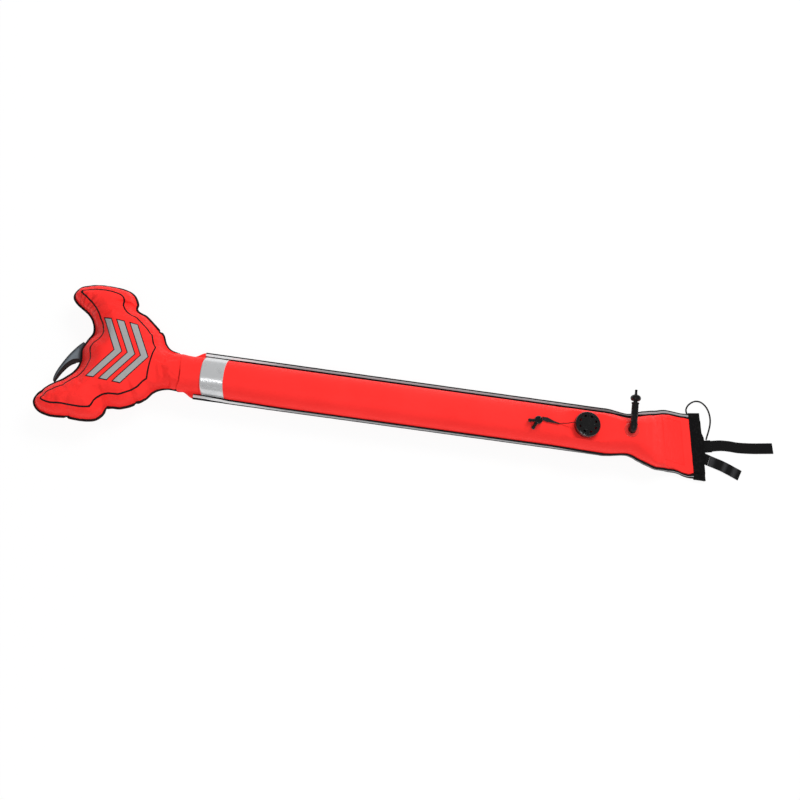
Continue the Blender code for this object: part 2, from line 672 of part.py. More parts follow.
def make_neck_collar():
    """The plain sleeve of fabric between the tube and the head, where the buoy bends."""
    walls = []
    for inset in (0.0, WALL):
        rings = []
        for x in stations(COLLAR_START_X, TUBE_START_X - GAP, COLLAR_STEP):
            ring = []
            for turn in (math.tau * k / 24 for k in range(24)):
                y = (BULGE_HALF_WIDTH - inset) * math.cos(turn)
                z = SEAM_Z + (CROWN_HEIGHT - inset) * math.sin(turn)
                ring.append(Vector((x, y, z)))
            rings.append(ring)
        walls.append(rings)
    add_object("neck_collar", pipe_bmesh(*walls), red_fabric())


def head_point(local):
    """A point of the head's own outline, turned into the buoy's frame."""
    x, y = local[0] * MM, local[1] * MM
    cos, sin = math.cos(HEAD_YAW), math.sin(HEAD_YAW)
    return Vector((HEAD_PIVOT_X + cos * x - sin * y, sin * x + cos * y))


def head_outline():
    """The head's seam line from one side of the neck round to the other, ending at the collar."""
    neck = BULGE_HALF_WIDTH + HEAD_EDGE_INSET
    points = [Vector((HEAD_END_X, neck)), *[head_point(p) for p in HEAD_OUTLINE_MM], Vector((HEAD_END_X, -neck))]
    return even_steps(curve_through(points, 8), OUTLINE_STEP)


def inset_line(line, distance):
    """The line moved to its left by a distance."""
    moved = []
    for k, point in enumerate(line):
        before, after = line[max(k - 1, 0)], line[min(k + 1, len(line) - 1)]
        way = (after - before).normalized()
        moved.append(point + Vector((-way.y, way.x)) * distance)
    return moved


def distance_to_line(point, line):
    """The shortest distance from a point to a line of points."""
    best = 1.0
    for a, b in zip(line, line[1:]):
        stretch = b - a
        share = min(max((point - a).dot(stretch) / stretch.length_squared, 0.0), 1.0)
        best = min(best, (point - a - stretch * share).length)
    return best


def head_depth(point, guide, side):
    """Height of the head's outer face over the seam plane, from the distance to its seam."""
    neck = ease((point.x - HEAD_END_X + NECK_LENGTH) / NECK_LENGTH)
    crown = HEAD_CROWN if side > 0 else CROWN_HEIGHT
    crown += (CROWN_HEIGHT - crown) * neck
    rounding = HEAD_ROUNDING + (BULGE_HALF_WIDTH - HEAD_ROUNDING) * neck
    seam = HEAD_SEAM_WIDTH - HEAD_EDGE_INSET
    seam *= 1 - ease((point.x - HEAD_END_X + NECK_TAPER) / NECK_TAPER)
    share = min(max((distance_to_line(point, guide) - seam) / (rounding - seam), 0.0), 1.0)
    return FLANGE_Z + (crown - FLANGE_Z) * math.sqrt(1 - (1 - share) ** 2)


def make_head_panels():
    """The head's two pillow panels, open at the neck."""
    outline = head_outline()
    edge = inset_line(outline, HEAD_EDGE_INSET)
    past_neck = Vector((HEAD_ROUNDING, 0))
    guide = [edge[0] + past_neck, *edge, edge[-1] + past_neck]
    neck_steps = 8
    neck = [edge[-1].lerp(edge[0], 0.5 - 0.5 * math.cos(math.pi * k / neck_steps)) for k in range(1, neck_steps)]
    ring = [*edge, *neck]
    seam_ring = inset_line(outline, HEAD_SEAM_WIDTH - GAP)[3:-3]
    bulge_ring = inset_line(outline, HEAD_SEAM_WIDTH + SEAM_ROW_STEP)[3:-3]
    low_x, high_x = min(p.x for p in ring), max(p.x for p in ring)
    low_y, high_y = min(p.y for p in ring), max(p.y for p in ring)
    filling_inset = HEAD_SEAM_WIDTH + SEAM_ROW_STEP + HEAD_GRID / 2
    filling = []
    for column, x in enumerate(stations(low_x, high_x, HEAD_GRID * 0.866)):
        for y in stations(low_y, high_y, HEAD_GRID):
            spot = Vector((x, y + (HEAD_GRID / 2 if column % 2 else 0.0)))
            near_neck = spot.x > HEAD_END_X - HEAD_GRID * 0.4
            if not near_neck and distance_to_line(spot, outline) > filling_inset:
                filling.append(spot)
    border = [(k, (k + 1) % len(ring)) for k in range(len(ring))]
    border += [(len(ring) + k, len(ring) + k + 1) for k in range(len(seam_ring) - 1)]
    flat, _, faces, *_ = delaunay_2d_cdt([*ring, *seam_ring, *bulge_ring, *filling], border, [], 1, 1e-6)
    for name, side in (("head_upper_panel", 1), ("head_lower_panel", -1)):
        bm = bmesh.new()
        verts = [bm.verts.new((p.x, p.y, SEAM_Z + side * head_depth(p, guide, side))) for p in flat]
        for face in faces:
            bm.faces.new([verts[k] for k in face])
        loose = [v for v in bm.verts if not v.link_faces]
        bmesh.ops.delete(bm, geom=loose, context="VERTS")
        solidify(add_panel(name, bm, side), WALL)


def make_head_trim():
    """The black edge folded round the head's seam."""
    outline = [point for point in head_outline() if point.x < HEAD_END_X - NECK_TAPER]
    inner_z, outer_z = FLANGE_Z + GAP, FLANGE_Z + GAP + HEAD_TRIM_WALL
    width = HEAD_TRIM_WIDTH
    fold = [
        (width, inner_z), (width, outer_z), (0.0, outer_z), (0.0, -outer_z),
        (width, -outer_z), (width, -inner_z), (HEAD_TRIM_WALL, -inner_z), (HEAD_TRIM_WALL, inner_z),
    ]
    lines = {inset: inset_line(outline, inset) for inset in {inset for inset, _ in fold}}
    loops = [
        [Vector((*lines[inset][k], SEAM_Z + z)) for inset, z in fold]
        for k in range(len(outline))
    ]
    add_object("head_edge_trim", loft_bmesh(loops), black_fabric())


def make_fin():
    """The dark padded fin sewn to the head's front seam, pointing sideways."""
    leaf = even_steps(curve_through([head_point(p) for p in FIN_OUTLINE_MM], 5), 9 * MM)
    root = [
        point
        for point in inset_line(head_outline(), -GAP)
        if FIN_ROOT_LOW_Y < point.y < FIN_ROOT_TOP_Y and point.x < HEAD_PIVOT_X - FIN_ROOT_REACH
    ]
    line = [*leaf[1:-1], *reversed(root)]
    low, high = SEAM_Z - FIN_WALL / 2, SEAM_Z + FIN_WALL / 2
    loops = [[Vector((p.x, p.y, z)) for p in line] for z in (low, high)]
    add_object("fin", loft_bmesh(loops), fin_fabric())


# Relief valve


def ring_profile(inner, outer, low, high):
    """The profile of a plain ring between two radii and two heights."""
    return [(inner, low), (outer, low), (outer, high), (inner, high)]


def make_valve_body(where):
    """The valve's flange, seat and neck, with a spider in the neck that guides the stem."""
    lip_radius, lip_top = SEAT_RADIUS + SEAT_LIP_WALL, VALVE_FLANGE_TOP + SEAT_LIP
    profile = [
        (SEAT_RADIUS, -VALVE_NECK_DEPTH), (VALVE_PORT_RADIUS, -VALVE_NECK_DEPTH),
        (VALVE_PORT_RADIUS, VALVE_FLANGE_LOW), (VALVE_RADIUS, VALVE_FLANGE_LOW), (VALVE_RADIUS, VALVE_FLANGE_TOP),
        (lip_radius, VALVE_FLANGE_TOP), (lip_radius, lip_top), (SEAT_RADIUS, lip_top),
    ]
    body = add_object("valve_body", turned_bmesh(profile, 32), black_plastic(), where)
    hub_low, hub_high = -VALVE_NECK_DEPTH, -VALVE_NECK_DEPTH + SPIDER_WALL
    hub = turned_bmesh(ring_profile(STEM_RADIUS + STEM_PLAY, SPIDER_HUB_RADIUS, hub_low, hub_high), 16)
    boolean(body, add_object("valve_spider_hub", hub, black_plastic(), where), "UNION")
    start, end = SPIDER_HUB_RADIUS - SPOKE_ROOT, SEAT_RADIUS + SPOKE_ROOT
    middle_z = (hub_low + hub_high) / 2
    for k in range(SPOKE_COUNT):
        turn = Matrix.Rotation(math.tau * k / SPOKE_COUNT, 3, "Z")
        spoke = bmesh.new()
        bmesh.ops.create_cube(spoke, size=1.0)
        for vert in spoke.verts:
            x = start + (vert.co.x + 0.5) * (end - start)
            vert.co = turn @ Vector((x, vert.co.y * SPOKE_WIDTH, middle_z + vert.co.z * SPOKE_WALL))
        boolean(body, add_object(f"valve_spoke_{k}", spoke, black_plastic(), where), "UNION")


def make_relief_valve():
    """The spring-loaded relief valve clamped through the upper panel."""
    where = (VALVE_X, VALVE_Y, VALVE_SEAT_Z)
    hole, clamp_radius = VALVE_PORT_RADIUS + GAP, VALVE_RADIUS - VALVE_CLAMP_INSET
    nut_top = -WALL - GAP
    gasket = turned_bmesh(ring_profile(hole, clamp_radius, GAP, GAP + GASKET_WALL), 32)
    nut = turned_bmesh(ring_profile(hole, clamp_radius, nut_top - NUT_WALL, nut_top), 24)
    add_object("valve_gasket", gasket, rubber(), where)
    add_object("valve_clamp_nut", nut, black_plastic(), where)
    make_valve_body(where)
    disc_low = VALVE_FLANGE_TOP + SEAT_LIP + GAP
    disc_top = disc_low + DISC_WALL
    disc = add_object("valve_disc", rod_bmesh(DISC_RADIUS, disc_low, disc_top, 24), rubber(), where)
    eye = rod_bmesh(CORD_EYE_RADIUS, disc_top - DISC_WALL / 2, COVER_CEILING - DISC_LIFT - GAP, 8)
    eye_place = (VALVE_X - CORD_EYE_OFFSET, VALVE_Y, VALVE_SEAT_Z)
    boolean(disc, add_object("valve_disc_eye", eye, rubber(), eye_place), "UNION")
    stem = rod_bmesh(STEM_RADIUS, -VALVE_NECK_DEPTH - STEM_TAIL, disc_low - GAP, 12)
    add_object("valve_stem", stem, spring_steel(), where)
    spring_low = disc_top + GAP + VALVE_SPRING_WIRE / 2
    spring_high = COVER_CEILING - GAP - VALVE_SPRING_WIRE / 2
    coil = coil_points(VALVE_SPRING_RADIUS, spring_high - spring_low, VALVE_SPRING_TURNS)
    base = Vector((VALVE_X, VALVE_Y, VALVE_SEAT_Z + spring_low))
    tube_object("valve_spring", [base + p for p in coil], VALVE_SPRING_WIRE / 2, spring_steel(), 1)
    make_valve_cover(where)


def make_valve_cover(where):
    """The vented cap over the disc, with a hole in its side for the cord."""
    rim, bevel = VALVE_RADIUS - COVER_WALL, COVER_CHAMFER
    profile = [
        (0, COVER_CEILING), (rim, COVER_CEILING), (rim, COVER_LOW), (VALVE_RADIUS, COVER_LOW),
        (VALVE_RADIUS, COVER_TOP - bevel), (VALVE_RADIUS - bevel, COVER_TOP), (0, COVER_TOP),
    ]
    cover = add_object("valve_cover", turned_bmesh(profile, 32), black_plastic(), where)
    for k in range(VENT_COUNT):
        turn = math.tau * (k + 0.5) / VENT_COUNT
        spot = (VALVE_X + VENT_CIRCLE * math.cos(turn), VALVE_Y + VENT_CIRCLE * math.sin(turn), VALVE_SEAT_Z)
        vent = rod_bmesh(VENT_RADIUS, COVER_CEILING - COVER_WALL, COVER_TOP + COVER_WALL, 10)
        boolean(cover, add_object(f"vent_{k}", vent, black_plastic(), spot), "DIFFERENCE")
    hole = rod_bmesh(PULL_CORD_RADIUS + CORD_HOLE_PLAY, -2 * COVER_WALL, 2 * COVER_WALL, 12)
    side_hole = add_object("cord_hole", hole, black_plastic(), (VALVE_X - VALVE_RADIUS, VALVE_Y, CORD_Z))
    side_hole.rotation_euler = (0, math.pi / 2, 0)
    boolean(cover, side_hole, "DIFFERENCE")


def make_pull_cord():
    """The cord from the valve's disc out to its sleeve and toggle, lying on the crown."""
    start_x = VALVE_X - CORD_EYE_OFFSET - CORD_EYE_RADIUS - GAP
    exit_x = VALVE_X - VALVE_RADIUS
    points = [Vector((start_x, VALVE_Y, CORD_Z)), Vector((exit_x, VALVE_Y, CORD_Z))]
    points.append(Vector((exit_x, VALVE_Y, CORD_Z)) + Vector((-6, -0.4, -1.2)) * MM)
    for x, y, height in CORD_ROUTE_MM:
        points.append(Vector((x * MM, y * MM, skin_height(x * MM, y * MM, 1) + height * MM)))
    route = even_steps(curve_through(points, 6), 4 * MM)
    tube_object("pull_cord", route, PULL_CORD_RADIUS, black_fabric())
    make_pull_sleeve(route[-1])
    make_toggle(route[-1])


def make_pull_sleeve(cord_end):
    """A flat sleeve that widens from the cord to the toggle."""
    loops = []
    start = cord_end.x - GAP
    for x in reversed(stations(start - SLEEVE_LENGTH, start, 9 * MM)):
        share = ease((start - x) / SLEEVE_LENGTH)
        y = cord_end.y + SLEEVE_DRIFT * share
        half = (SLEEVE_START_WIDTH + (SLEEVE_END_WIDTH - SLEEVE_START_WIDTH) * share) / 2
        low = skin_height(x, y, 1) + SLEEVE_LIFT
        corners = [(-half, 0), (half, 0), (half, SLEEVE_WALL), (-half, SLEEVE_WALL)]
        loops.append([Vector((x, y + a, low + b)) for a, b in corners])
    add_object("pull_sleeve", loft_bmesh(loops), webbing())


def make_toggle(cord_end):
    """The knob on the cord: a round body with a peg and a side lobe."""
    x = cord_end.x - GAP - SLEEVE_LENGTH - GAP - TOGGLE_RADIUS
    y = cord_end.y + TOGGLE_DRIFT
    base = skin_height(x, drift(x), 1) + GAP
    bevel = TOGGLE_RADIUS / 4
    profile = [
        (0, 0), (TOGGLE_RADIUS - bevel / 2, 0), (TOGGLE_RADIUS, bevel / 2),
        (TOGGLE_RADIUS, TOGGLE_HEIGHT - bevel), (TOGGLE_RADIUS - bevel, TOGGLE_HEIGHT), (0, TOGGLE_HEIGHT),
    ]
    toggle = add_object("pull_toggle", turned_bmesh(profile, 18), black_plastic(), (x, y, base))
    spot = (x, y, base + TOGGLE_HEIGHT / 2)
    ends = (("toggle_peg", TOGGLE_PEG_MM, TOGGLE_PEG_RADIUS), ("toggle_lobe", TOGGLE_LOBE_MM, TOGGLE_LOBE_RADIUS))
    for name, reach, radius in ends:
        way = Vector(reach) * MM
        turn = way.to_track_quat("Z", "Y").to_matrix()
        rod = add_object(name, rod_bmesh(radius, 1 * MM, way.length, 12), black_plastic(), spot, turn)
        boolean(toggle, rod, "UNION")


# Oral inflator


def inflator_frame():
    """Where the barrel's axis starts over the port, and how it is turned: local Z points along the barrel."""
    height = INFLATOR_FLANGE_WALL + 2 * GAP + BARREL_RADIUS + ELBOW_RISE
    origin = Vector((INFLATOR_X, INFLATOR_Y, INFLATOR_SEAT_Z + height))
    turn = Matrix.Rotation(-math.pi / 2 + INFLATOR_TILT, 3, "X")
    return origin, turn


def make_inflator():
    """The oral inflator: a welded base, an elbow, a barrel and a sprung mouthpiece that is pushed to open."""
    where = (INFLATOR_X, INFLATOR_Y, INFLATOR_SEAT_Z)
    top, hole = GAP + INFLATOR_FLANGE_WALL, PORT_RADIUS - FLANGE_LIP
    base_profile = [
        (hole, GAP), (INFLATOR_FLANGE_RADIUS, GAP),
        (INFLATOR_FLANGE_RADIUS, GAP + INFLATOR_FLANGE_WALL * FLANGE_EDGE_SHARE),
        (INFLATOR_FLANGE_RADIUS - FLANGE_EDGE_WIDTH, top), (hole, top),
    ]
    add_object("inflator_flange", turned_bmesh(base_profile, 28), red_plastic(), where)
    origin, turn = inflator_frame()
    make_elbow(origin, turn, top + GAP)
    barrel_end = BARREL_START + BARREL_LENGTH
    grip_start = barrel_end - GRIP_OVERLAP
    grip_end = grip_start + GRIP_LENGTH
    thin = BARREL_RADIUS - BARREL_STEP
    seat_low = BARREL_START + POPPET_SEAT_START
    seat_high = seat_low + POPPET_SEAT_WALL
    barrel_profile = [
        (BARREL_BORE, BARREL_START), (BARREL_RADIUS, BARREL_START), (BARREL_RADIUS, grip_start - GAP),
        (thin, grip_start - GAP), (thin, barrel_end), (BARREL_BORE, barrel_end), (BARREL_BORE, seat_high),
        (POPPET_SEAT_BORE, seat_high), (POPPET_SEAT_BORE, seat_low), (BARREL_BORE, seat_low),
    ]
    add_object("inflator_barrel", turned_bmesh(barrel_profile, 20), black_plastic(), origin, turn)
    bead_start, end_start = grip_end - GRIP_BEAD_LENGTH, grip_end - GRIP_END_WALL
    slide = MOUTHPIECE_NECK + SLIDE_PLAY
    grip_profile = [
        (thin + GAP, grip_start), (GRIP_RADIUS, grip_start), (GRIP_RADIUS, end_start),
        (GRIP_RADIUS + GRIP_BEAD, bead_start), (GRIP_RADIUS + GRIP_BEAD, grip_end),
        (slide, grip_end), (slide, end_start), (thin + GAP, end_start - 1 * MM),
    ]
    add_object("inflator_grip", turned_bmesh(grip_profile, 20), rubber(), origin, turn)
    neck_end = barrel_end - MOUTHPIECE_DEPTH
    make_mouthpiece(origin, turn, neck_end, grip_end + MOUTHPIECE_TRAVEL + GAP)
    make_poppet(origin, turn, seat_low, neck_end)
    wire = INFLATOR_SPRING_WIRE
    spring_low, spring_high = seat_high + GAP + wire / 2, neck_end - GAP - wire / 2
    coil = coil_points(INFLATOR_SPRING_RADIUS, spring_high - spring_low, INFLATOR_SPRING_TURNS, 8)
    points = [origin + turn @ (p + Vector((0, 0, spring_low))) for p in coil]
    tube_object("inflator_spring", points, wire / 2, spring_steel(), 1)


def make_mouthpiece(origin, turn, neck_end, start):
    """The mushroom-shaped mouthpiece with its nib; its neck slides in the grip and the barrel."""
    radius, end = MOUTHPIECE_RADIUS, start + MOUTHPIECE_LENGTH
    profile = [
        (NIB_BORE, neck_end), (MOUTHPIECE_NECK, neck_end), (MOUTHPIECE_NECK, start), (radius - 3 * MM, start),
        (radius - 0.8 * MM, start + 2.5 * MM), (radius, start + 5.5 * MM), (radius - 1.2 * MM, end - 3.5 * MM),
        (radius - 5 * MM, end - 1 * MM), (NIB_RADIUS + 0.8 * MM, end), (NIB_RADIUS, end + 2 * MM),
        (NIB_RADIUS, end + NIB_LENGTH), (NIB_BORE, end + NIB_LENGTH),
    ]
    add_object("inflator_mouthpiece", turned_bmesh(profile, 24), black_plastic(), origin, turn)


def make_poppet(origin, turn, seat_low, neck_end):
    """The poppet under the barrel's seat, its seal, and the rod that the mouthpiece pushes."""
    radius, rod = BARREL_BORE - POPPET_PLAY, POPPET_ROD_RADIUS
    head_top = seat_low - SEAL_PLAY - SEAL_WALL - SEAL_PLAY
    head_low = head_top - POPPET_WALL
    profile = [
        (0, head_low), (radius, head_low), (radius, head_top),
        (rod, head_top), (rod, neck_end - GAP), (0, neck_end - GAP),
    ]
    add_object("inflator_poppet", turned_bmesh(profile, 14), black_plastic(), origin, turn)
    seal = ring_profile(rod + SEAL_PLAY, radius - GAP, head_top + SEAL_PLAY, seat_low - SEAL_PLAY)
    add_object("inflator_seal", turned_bmesh(seal, 14), rubber(), origin, turn)


def make_elbow(origin, turn, foot):
    """The elbow from the port up into the barrel."""
    radius, bore, bend_steps, sides = BARREL_RADIUS + ELBOW_WALL, BARREL_BORE - ELBOW_LEDGE, 5, 16
    rise = origin.z - INFLATOR_SEAT_Z
    bend = radius + ELBOW_BEND_PLAY
    centre = Vector((0, bend, rise - bend))
    rings = [(Vector((0, 0, foot)), Vector((0, 1, 0)))]
    for angle in ((math.pi / 2 - INFLATOR_TILT) * k / bend_steps for k in range(bend_steps + 1)):
        spot = centre + Vector((0, -math.cos(angle), math.sin(angle))) * bend
        rings.append((spot, Vector((0, math.cos(angle), -math.sin(angle)))))
    end = Vector((0, 0, rise)) + turn @ Vector((0, 0, BARREL_START - GAP))
    rings.append((end, turn @ Vector((0, 1, 0))))
    walls = []
    for size in (radius, bore):
        loops = []
        for spot, across in rings:
            turns = [math.tau * k / sides for k in range(sides)]
            loops.append([spot + (Vector((math.cos(t), 0, 0)) + across * math.sin(t)) * size for t in turns])
        walls.append(loops)
    add_object("inflator_elbow", pipe_bmesh(*walls), black_plastic(), (INFLATOR_X, INFLATOR_Y, INFLATOR_SEAT_Z))


# Straps and bungee


def ribbon(name, points, rise):
    """A flat strap along a line, bowed up by a rise at its middle."""
    route = even_steps(curve_through([Vector((x * MM, y * MM)) for x, y in points], 6), 14 * MM)
    loops = []
    for k, point in enumerate(route):
        before, after = route[max(k - 1, 0)], route[min(k + 1, len(route) - 1)]
        way = (after - before).normalized()
        across = Vector((-way.y, way.x)) * STRAP_WIDTH / 2
        z = STRAP_FLOOR + rise * math.sin(math.pi * k / (len(route) - 1)) ** 2
        right, left = point - across, point + across
        loops.append([
            Vector((*right, z)), Vector((*left, z)), Vector((*left, z + STRAP_WALL)), Vector((*right, z + STRAP_WALL)),
        ])
    add_object(name, loft_bmesh(loops), webbing())


def lip_end(y):
    """X just past the mouth band's outer end at a place across it."""
    return place(MOUTH_X, y, 0).x + GAP


def make_strap_tab(name, points, width):
    """The doubled webbing that is sewn into the lower lip, up to the start of its strap."""
    first, second = Vector(points[0]) * MM, Vector(points[1]) * MM
    way = (second - first).normalized()
    across = Vector((-way.y, way.x)) * width / 2
    near = first - way * 2 * GAP
    top, bottom = near + across, near - across
    corners = [(lip_end(bottom.y), bottom.y), tuple(bottom), tuple(top), (lip_end(top.y), top.y)]
    heights = (STRAP_FLOOR, STRAP_FLOOR + STRAP_WALL + TAB_EXTRA_WALL)
    add_object(name, loft_bmesh([[Vector((x, y, z)) for x, y in corners] for z in heights]), webbing())


def make_straps():
    """The two fastening straps and the tabs that sew them to the mouth."""
    make_strap_tab("long_strap_tab", LONG_STRAP_MM, TAB_WIDTH)
    ribbon("long_strap", LONG_STRAP_MM, 0.0)
    make_strap_tab("short_strap_tab", SHORT_STRAP_MM, STRAP_WIDTH)
    ribbon("short_strap", SHORT_STRAP_MM, SHORT_STRAP_BOW)


def make_bungee():
    """The loop of bungee cord from the mouth band's corner back to the strap's tab."""
    route = even_steps(curve_through([Vector(p) * MM for p in BUNGEE_MM], 5), 8 * MM)
    tube_object("bungee_loop", route, BUNGEE_RADIUS, black_fabric())


def main():
    """Clear the scene and make every piece."""
    for old in list(bpy.data.objects):
        bpy.data.objects.remove(old, do_unlink=True)
    make_tube_panels()
    make_seam_bindings()
    make_tape()
    make_mouth_bands()
    make_duckbill()
    make_neck_collar()
    make_head_panels()
    make_head_trim()
    make_fin()
    make_relief_valve()
    make_pull_cord()
    make_inflator()
    make_straps()
    make_bungee()


main()
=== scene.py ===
"""Inflatable surface marker buoy: fabric, seams, relief valve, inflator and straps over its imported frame.

Metres, +Z up. +X runs from the head to the open mouth, and the buoy lies on the floor z = 0.
"""

from __future__ import annotations

import json
import logging
import math
from collections.abc import Callable
from dataclasses import dataclass, field
from enum import Enum

import bmesh
import bpy
import numpy as np
from mathutils import Matrix, Vector, noise
from mathutils.geometry import delaunay_2d_cdt

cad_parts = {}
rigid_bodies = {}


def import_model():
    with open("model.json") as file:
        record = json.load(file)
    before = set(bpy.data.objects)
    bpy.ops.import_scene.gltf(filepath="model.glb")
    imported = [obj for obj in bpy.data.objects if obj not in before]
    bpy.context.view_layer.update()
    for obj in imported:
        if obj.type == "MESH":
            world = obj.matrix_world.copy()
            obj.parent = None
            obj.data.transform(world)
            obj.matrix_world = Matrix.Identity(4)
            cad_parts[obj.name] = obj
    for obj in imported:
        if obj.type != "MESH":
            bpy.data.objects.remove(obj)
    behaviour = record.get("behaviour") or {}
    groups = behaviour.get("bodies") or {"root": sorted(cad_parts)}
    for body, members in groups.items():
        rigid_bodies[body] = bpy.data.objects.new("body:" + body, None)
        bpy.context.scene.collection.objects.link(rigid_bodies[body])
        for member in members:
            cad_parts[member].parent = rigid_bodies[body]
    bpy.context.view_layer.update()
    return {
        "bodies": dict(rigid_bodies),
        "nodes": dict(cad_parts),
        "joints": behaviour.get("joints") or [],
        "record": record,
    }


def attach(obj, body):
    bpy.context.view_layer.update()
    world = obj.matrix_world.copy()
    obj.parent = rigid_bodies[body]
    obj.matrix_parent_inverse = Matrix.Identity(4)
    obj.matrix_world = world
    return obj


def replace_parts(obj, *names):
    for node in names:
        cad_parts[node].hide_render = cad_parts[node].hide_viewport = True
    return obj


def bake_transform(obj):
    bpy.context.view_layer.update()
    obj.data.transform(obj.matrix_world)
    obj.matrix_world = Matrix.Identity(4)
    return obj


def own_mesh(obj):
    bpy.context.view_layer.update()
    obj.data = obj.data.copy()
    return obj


log = logging.getLogger("marker_buoy")

MM = 0.001
GAP = 0.3 * MM
Colour = tuple[float, float, float, float]
Piece = bpy.types.Object
Finish = bpy.types.Material
Line = list[Vector]
Pair = tuple[float, float]
Pairs = tuple[Pair, ...]
Triple = tuple[float, float, float]
Stray = Callable[[float], float]

# Places and angles that more than one class reads
VALVE_AT: Pair = (-261.2 * MM, -1.3 * MM)
HEAD_X = -1111.9 * MM
HEAD_YAW = math.radians(-4.3)
MOUTH_SLANT = math.tan(math.radians(6.7))

# The angle from which an edge is shaded sharp
SHARP = math.radians(42)

# Shares of the half width where a row across the bag has its points, closer together at the edges
COLUMNS = 44
SHARES = [-math.cos(math.pi * k / COLUMNS) for k in range(COLUMNS + 1)]

RED: Colour = (0.95, 0.030, 0.026, 1.0)
DEEP_RED: Colour = (0.82, 0.017, 0.014, 1.0)
PRINT_GREY: Colour = (0.290, 0.292, 0.290, 1.0)
INK: Colour = (0.011, 0.006, 0.006, 1.0)
BLACK: Colour = (0.0035, 0.0033, 0.0035, 1.0)
WORN_BLACK: Colour = (0.011, 0.0105, 0.011, 1.0)
SILVER: Colour = (0.66, 0.67, 0.68, 1.0)
DULL_SILVER: Colour = (0.44, 0.45, 0.46, 1.0)
SLATE: Colour = (0.160, 0.196, 0.224, 1.0)
DARK_SLATE: Colour = (0.030, 0.038, 0.046, 1.0)


class Side(Enum):
    """The face of the buoy that a panel makes."""

    UPPER = 1
    LOWER = -1

    @property
    def word(self) -> str:
        """The word for it in a piece's name."""
        return self.name.lower()


class Hand(Enum):
    """The edge of the buoy that a seam runs along, seen from the mouth."""

    LEFT = 1
    RIGHT = -1


# Shader values and the node bench


def add_node(
    tree: bpy.types.NodeTree, kind: str, sockets: dict | None = None, **settings: str
) -> bpy.types.Node:
    """Make any node.

    Args:
        tree: the tree that it goes in.
        kind: its type.
        sockets: values or links of its input sockets, by name or number.
        **settings: its own settings, set first.

    Returns:
        The node.
    """
    node = tree.nodes.new(kind)
    for key, value in settings.items():
        setattr(node, key, value)
    for key, value in (sockets or {}).items():
        value = value.socket if isinstance(value, Level) else value
        if isinstance(value, bpy.types.NodeSocket):
            tree.links.new(value, node.inputs[key])
        else:
            node.inputs[key].default_value = value
    return node


def on_two(operation: str, reflected: bool = False) -> Callable[[Level, Level | float], Level]:
    """An operator on two values, which adds one Math node.

    Args:
        operation: the node's operation.
        reflected: whether the other value comes first.

    Returns:
        The operator.
    """

    def operator(self: Level, other: Level | float) -> Level:
        """Add the node."""
        return self.math(operation, *((other, self) if reflected else (self, other)))

    return operator


class Level:
    """One value of a shader; arithmetic on it adds Math nodes. Comparisons give 1 or 0."""

    __add__, __radd__ = on_two("ADD"), on_two("ADD", reflected=True)
    __sub__, __rsub__ = on_two("SUBTRACT"), on_two("SUBTRACT", reflected=True)
    __mul__, __rmul__ = on_two("MULTIPLY"), on_two("MULTIPLY", reflected=True)
    __truediv__, __rtruediv__ = on_two("DIVIDE"), on_two("DIVIDE", reflected=True)
    __gt__, __lt__ = on_two("GREATER_THAN"), on_two("LESS_THAN")
    least, turn = on_two("MINIMUM"), on_two("ARCTAN2")

    def __init__(self, bench: Bench, socket: bpy.types.NodeSocket) -> None:
        """Wrap an output socket of the bench's tree."""
        self.bench = bench
        self.socket = socket

    def math(self, operation: str, *values: Level | float) -> Level:
        """Add a Math node on these values."""
        return self.bench.add("ShaderNodeMath", dict(enumerate(values)), operation=operation)

    def __abs__(self) -> Level:
        """Size without its sign."""
        return self.math("ABSOLUTE", self)

    def sine(self) -> Level:
        """Sine of the value in radians."""
        return self.math("SINE", self)

    def fraction(self) -> Level:
        """The part after the decimal point."""
        return self.math("FRACT", self)

    def clamped(self) -> Level:
        """The value held between 0 and 1."""
        return self.bench.add("ShaderNodeClamp", {"Value": self})

    def ramp(self, low: float, high: float) -> Level:
        """A smooth step from 0 at low to 1 at high."""
        sockets = {"Value": self, "From Min": low, "From Max": high}
        return self.bench.add("ShaderNodeMapRange", sockets, interpolation_type="SMOOTHSTEP")


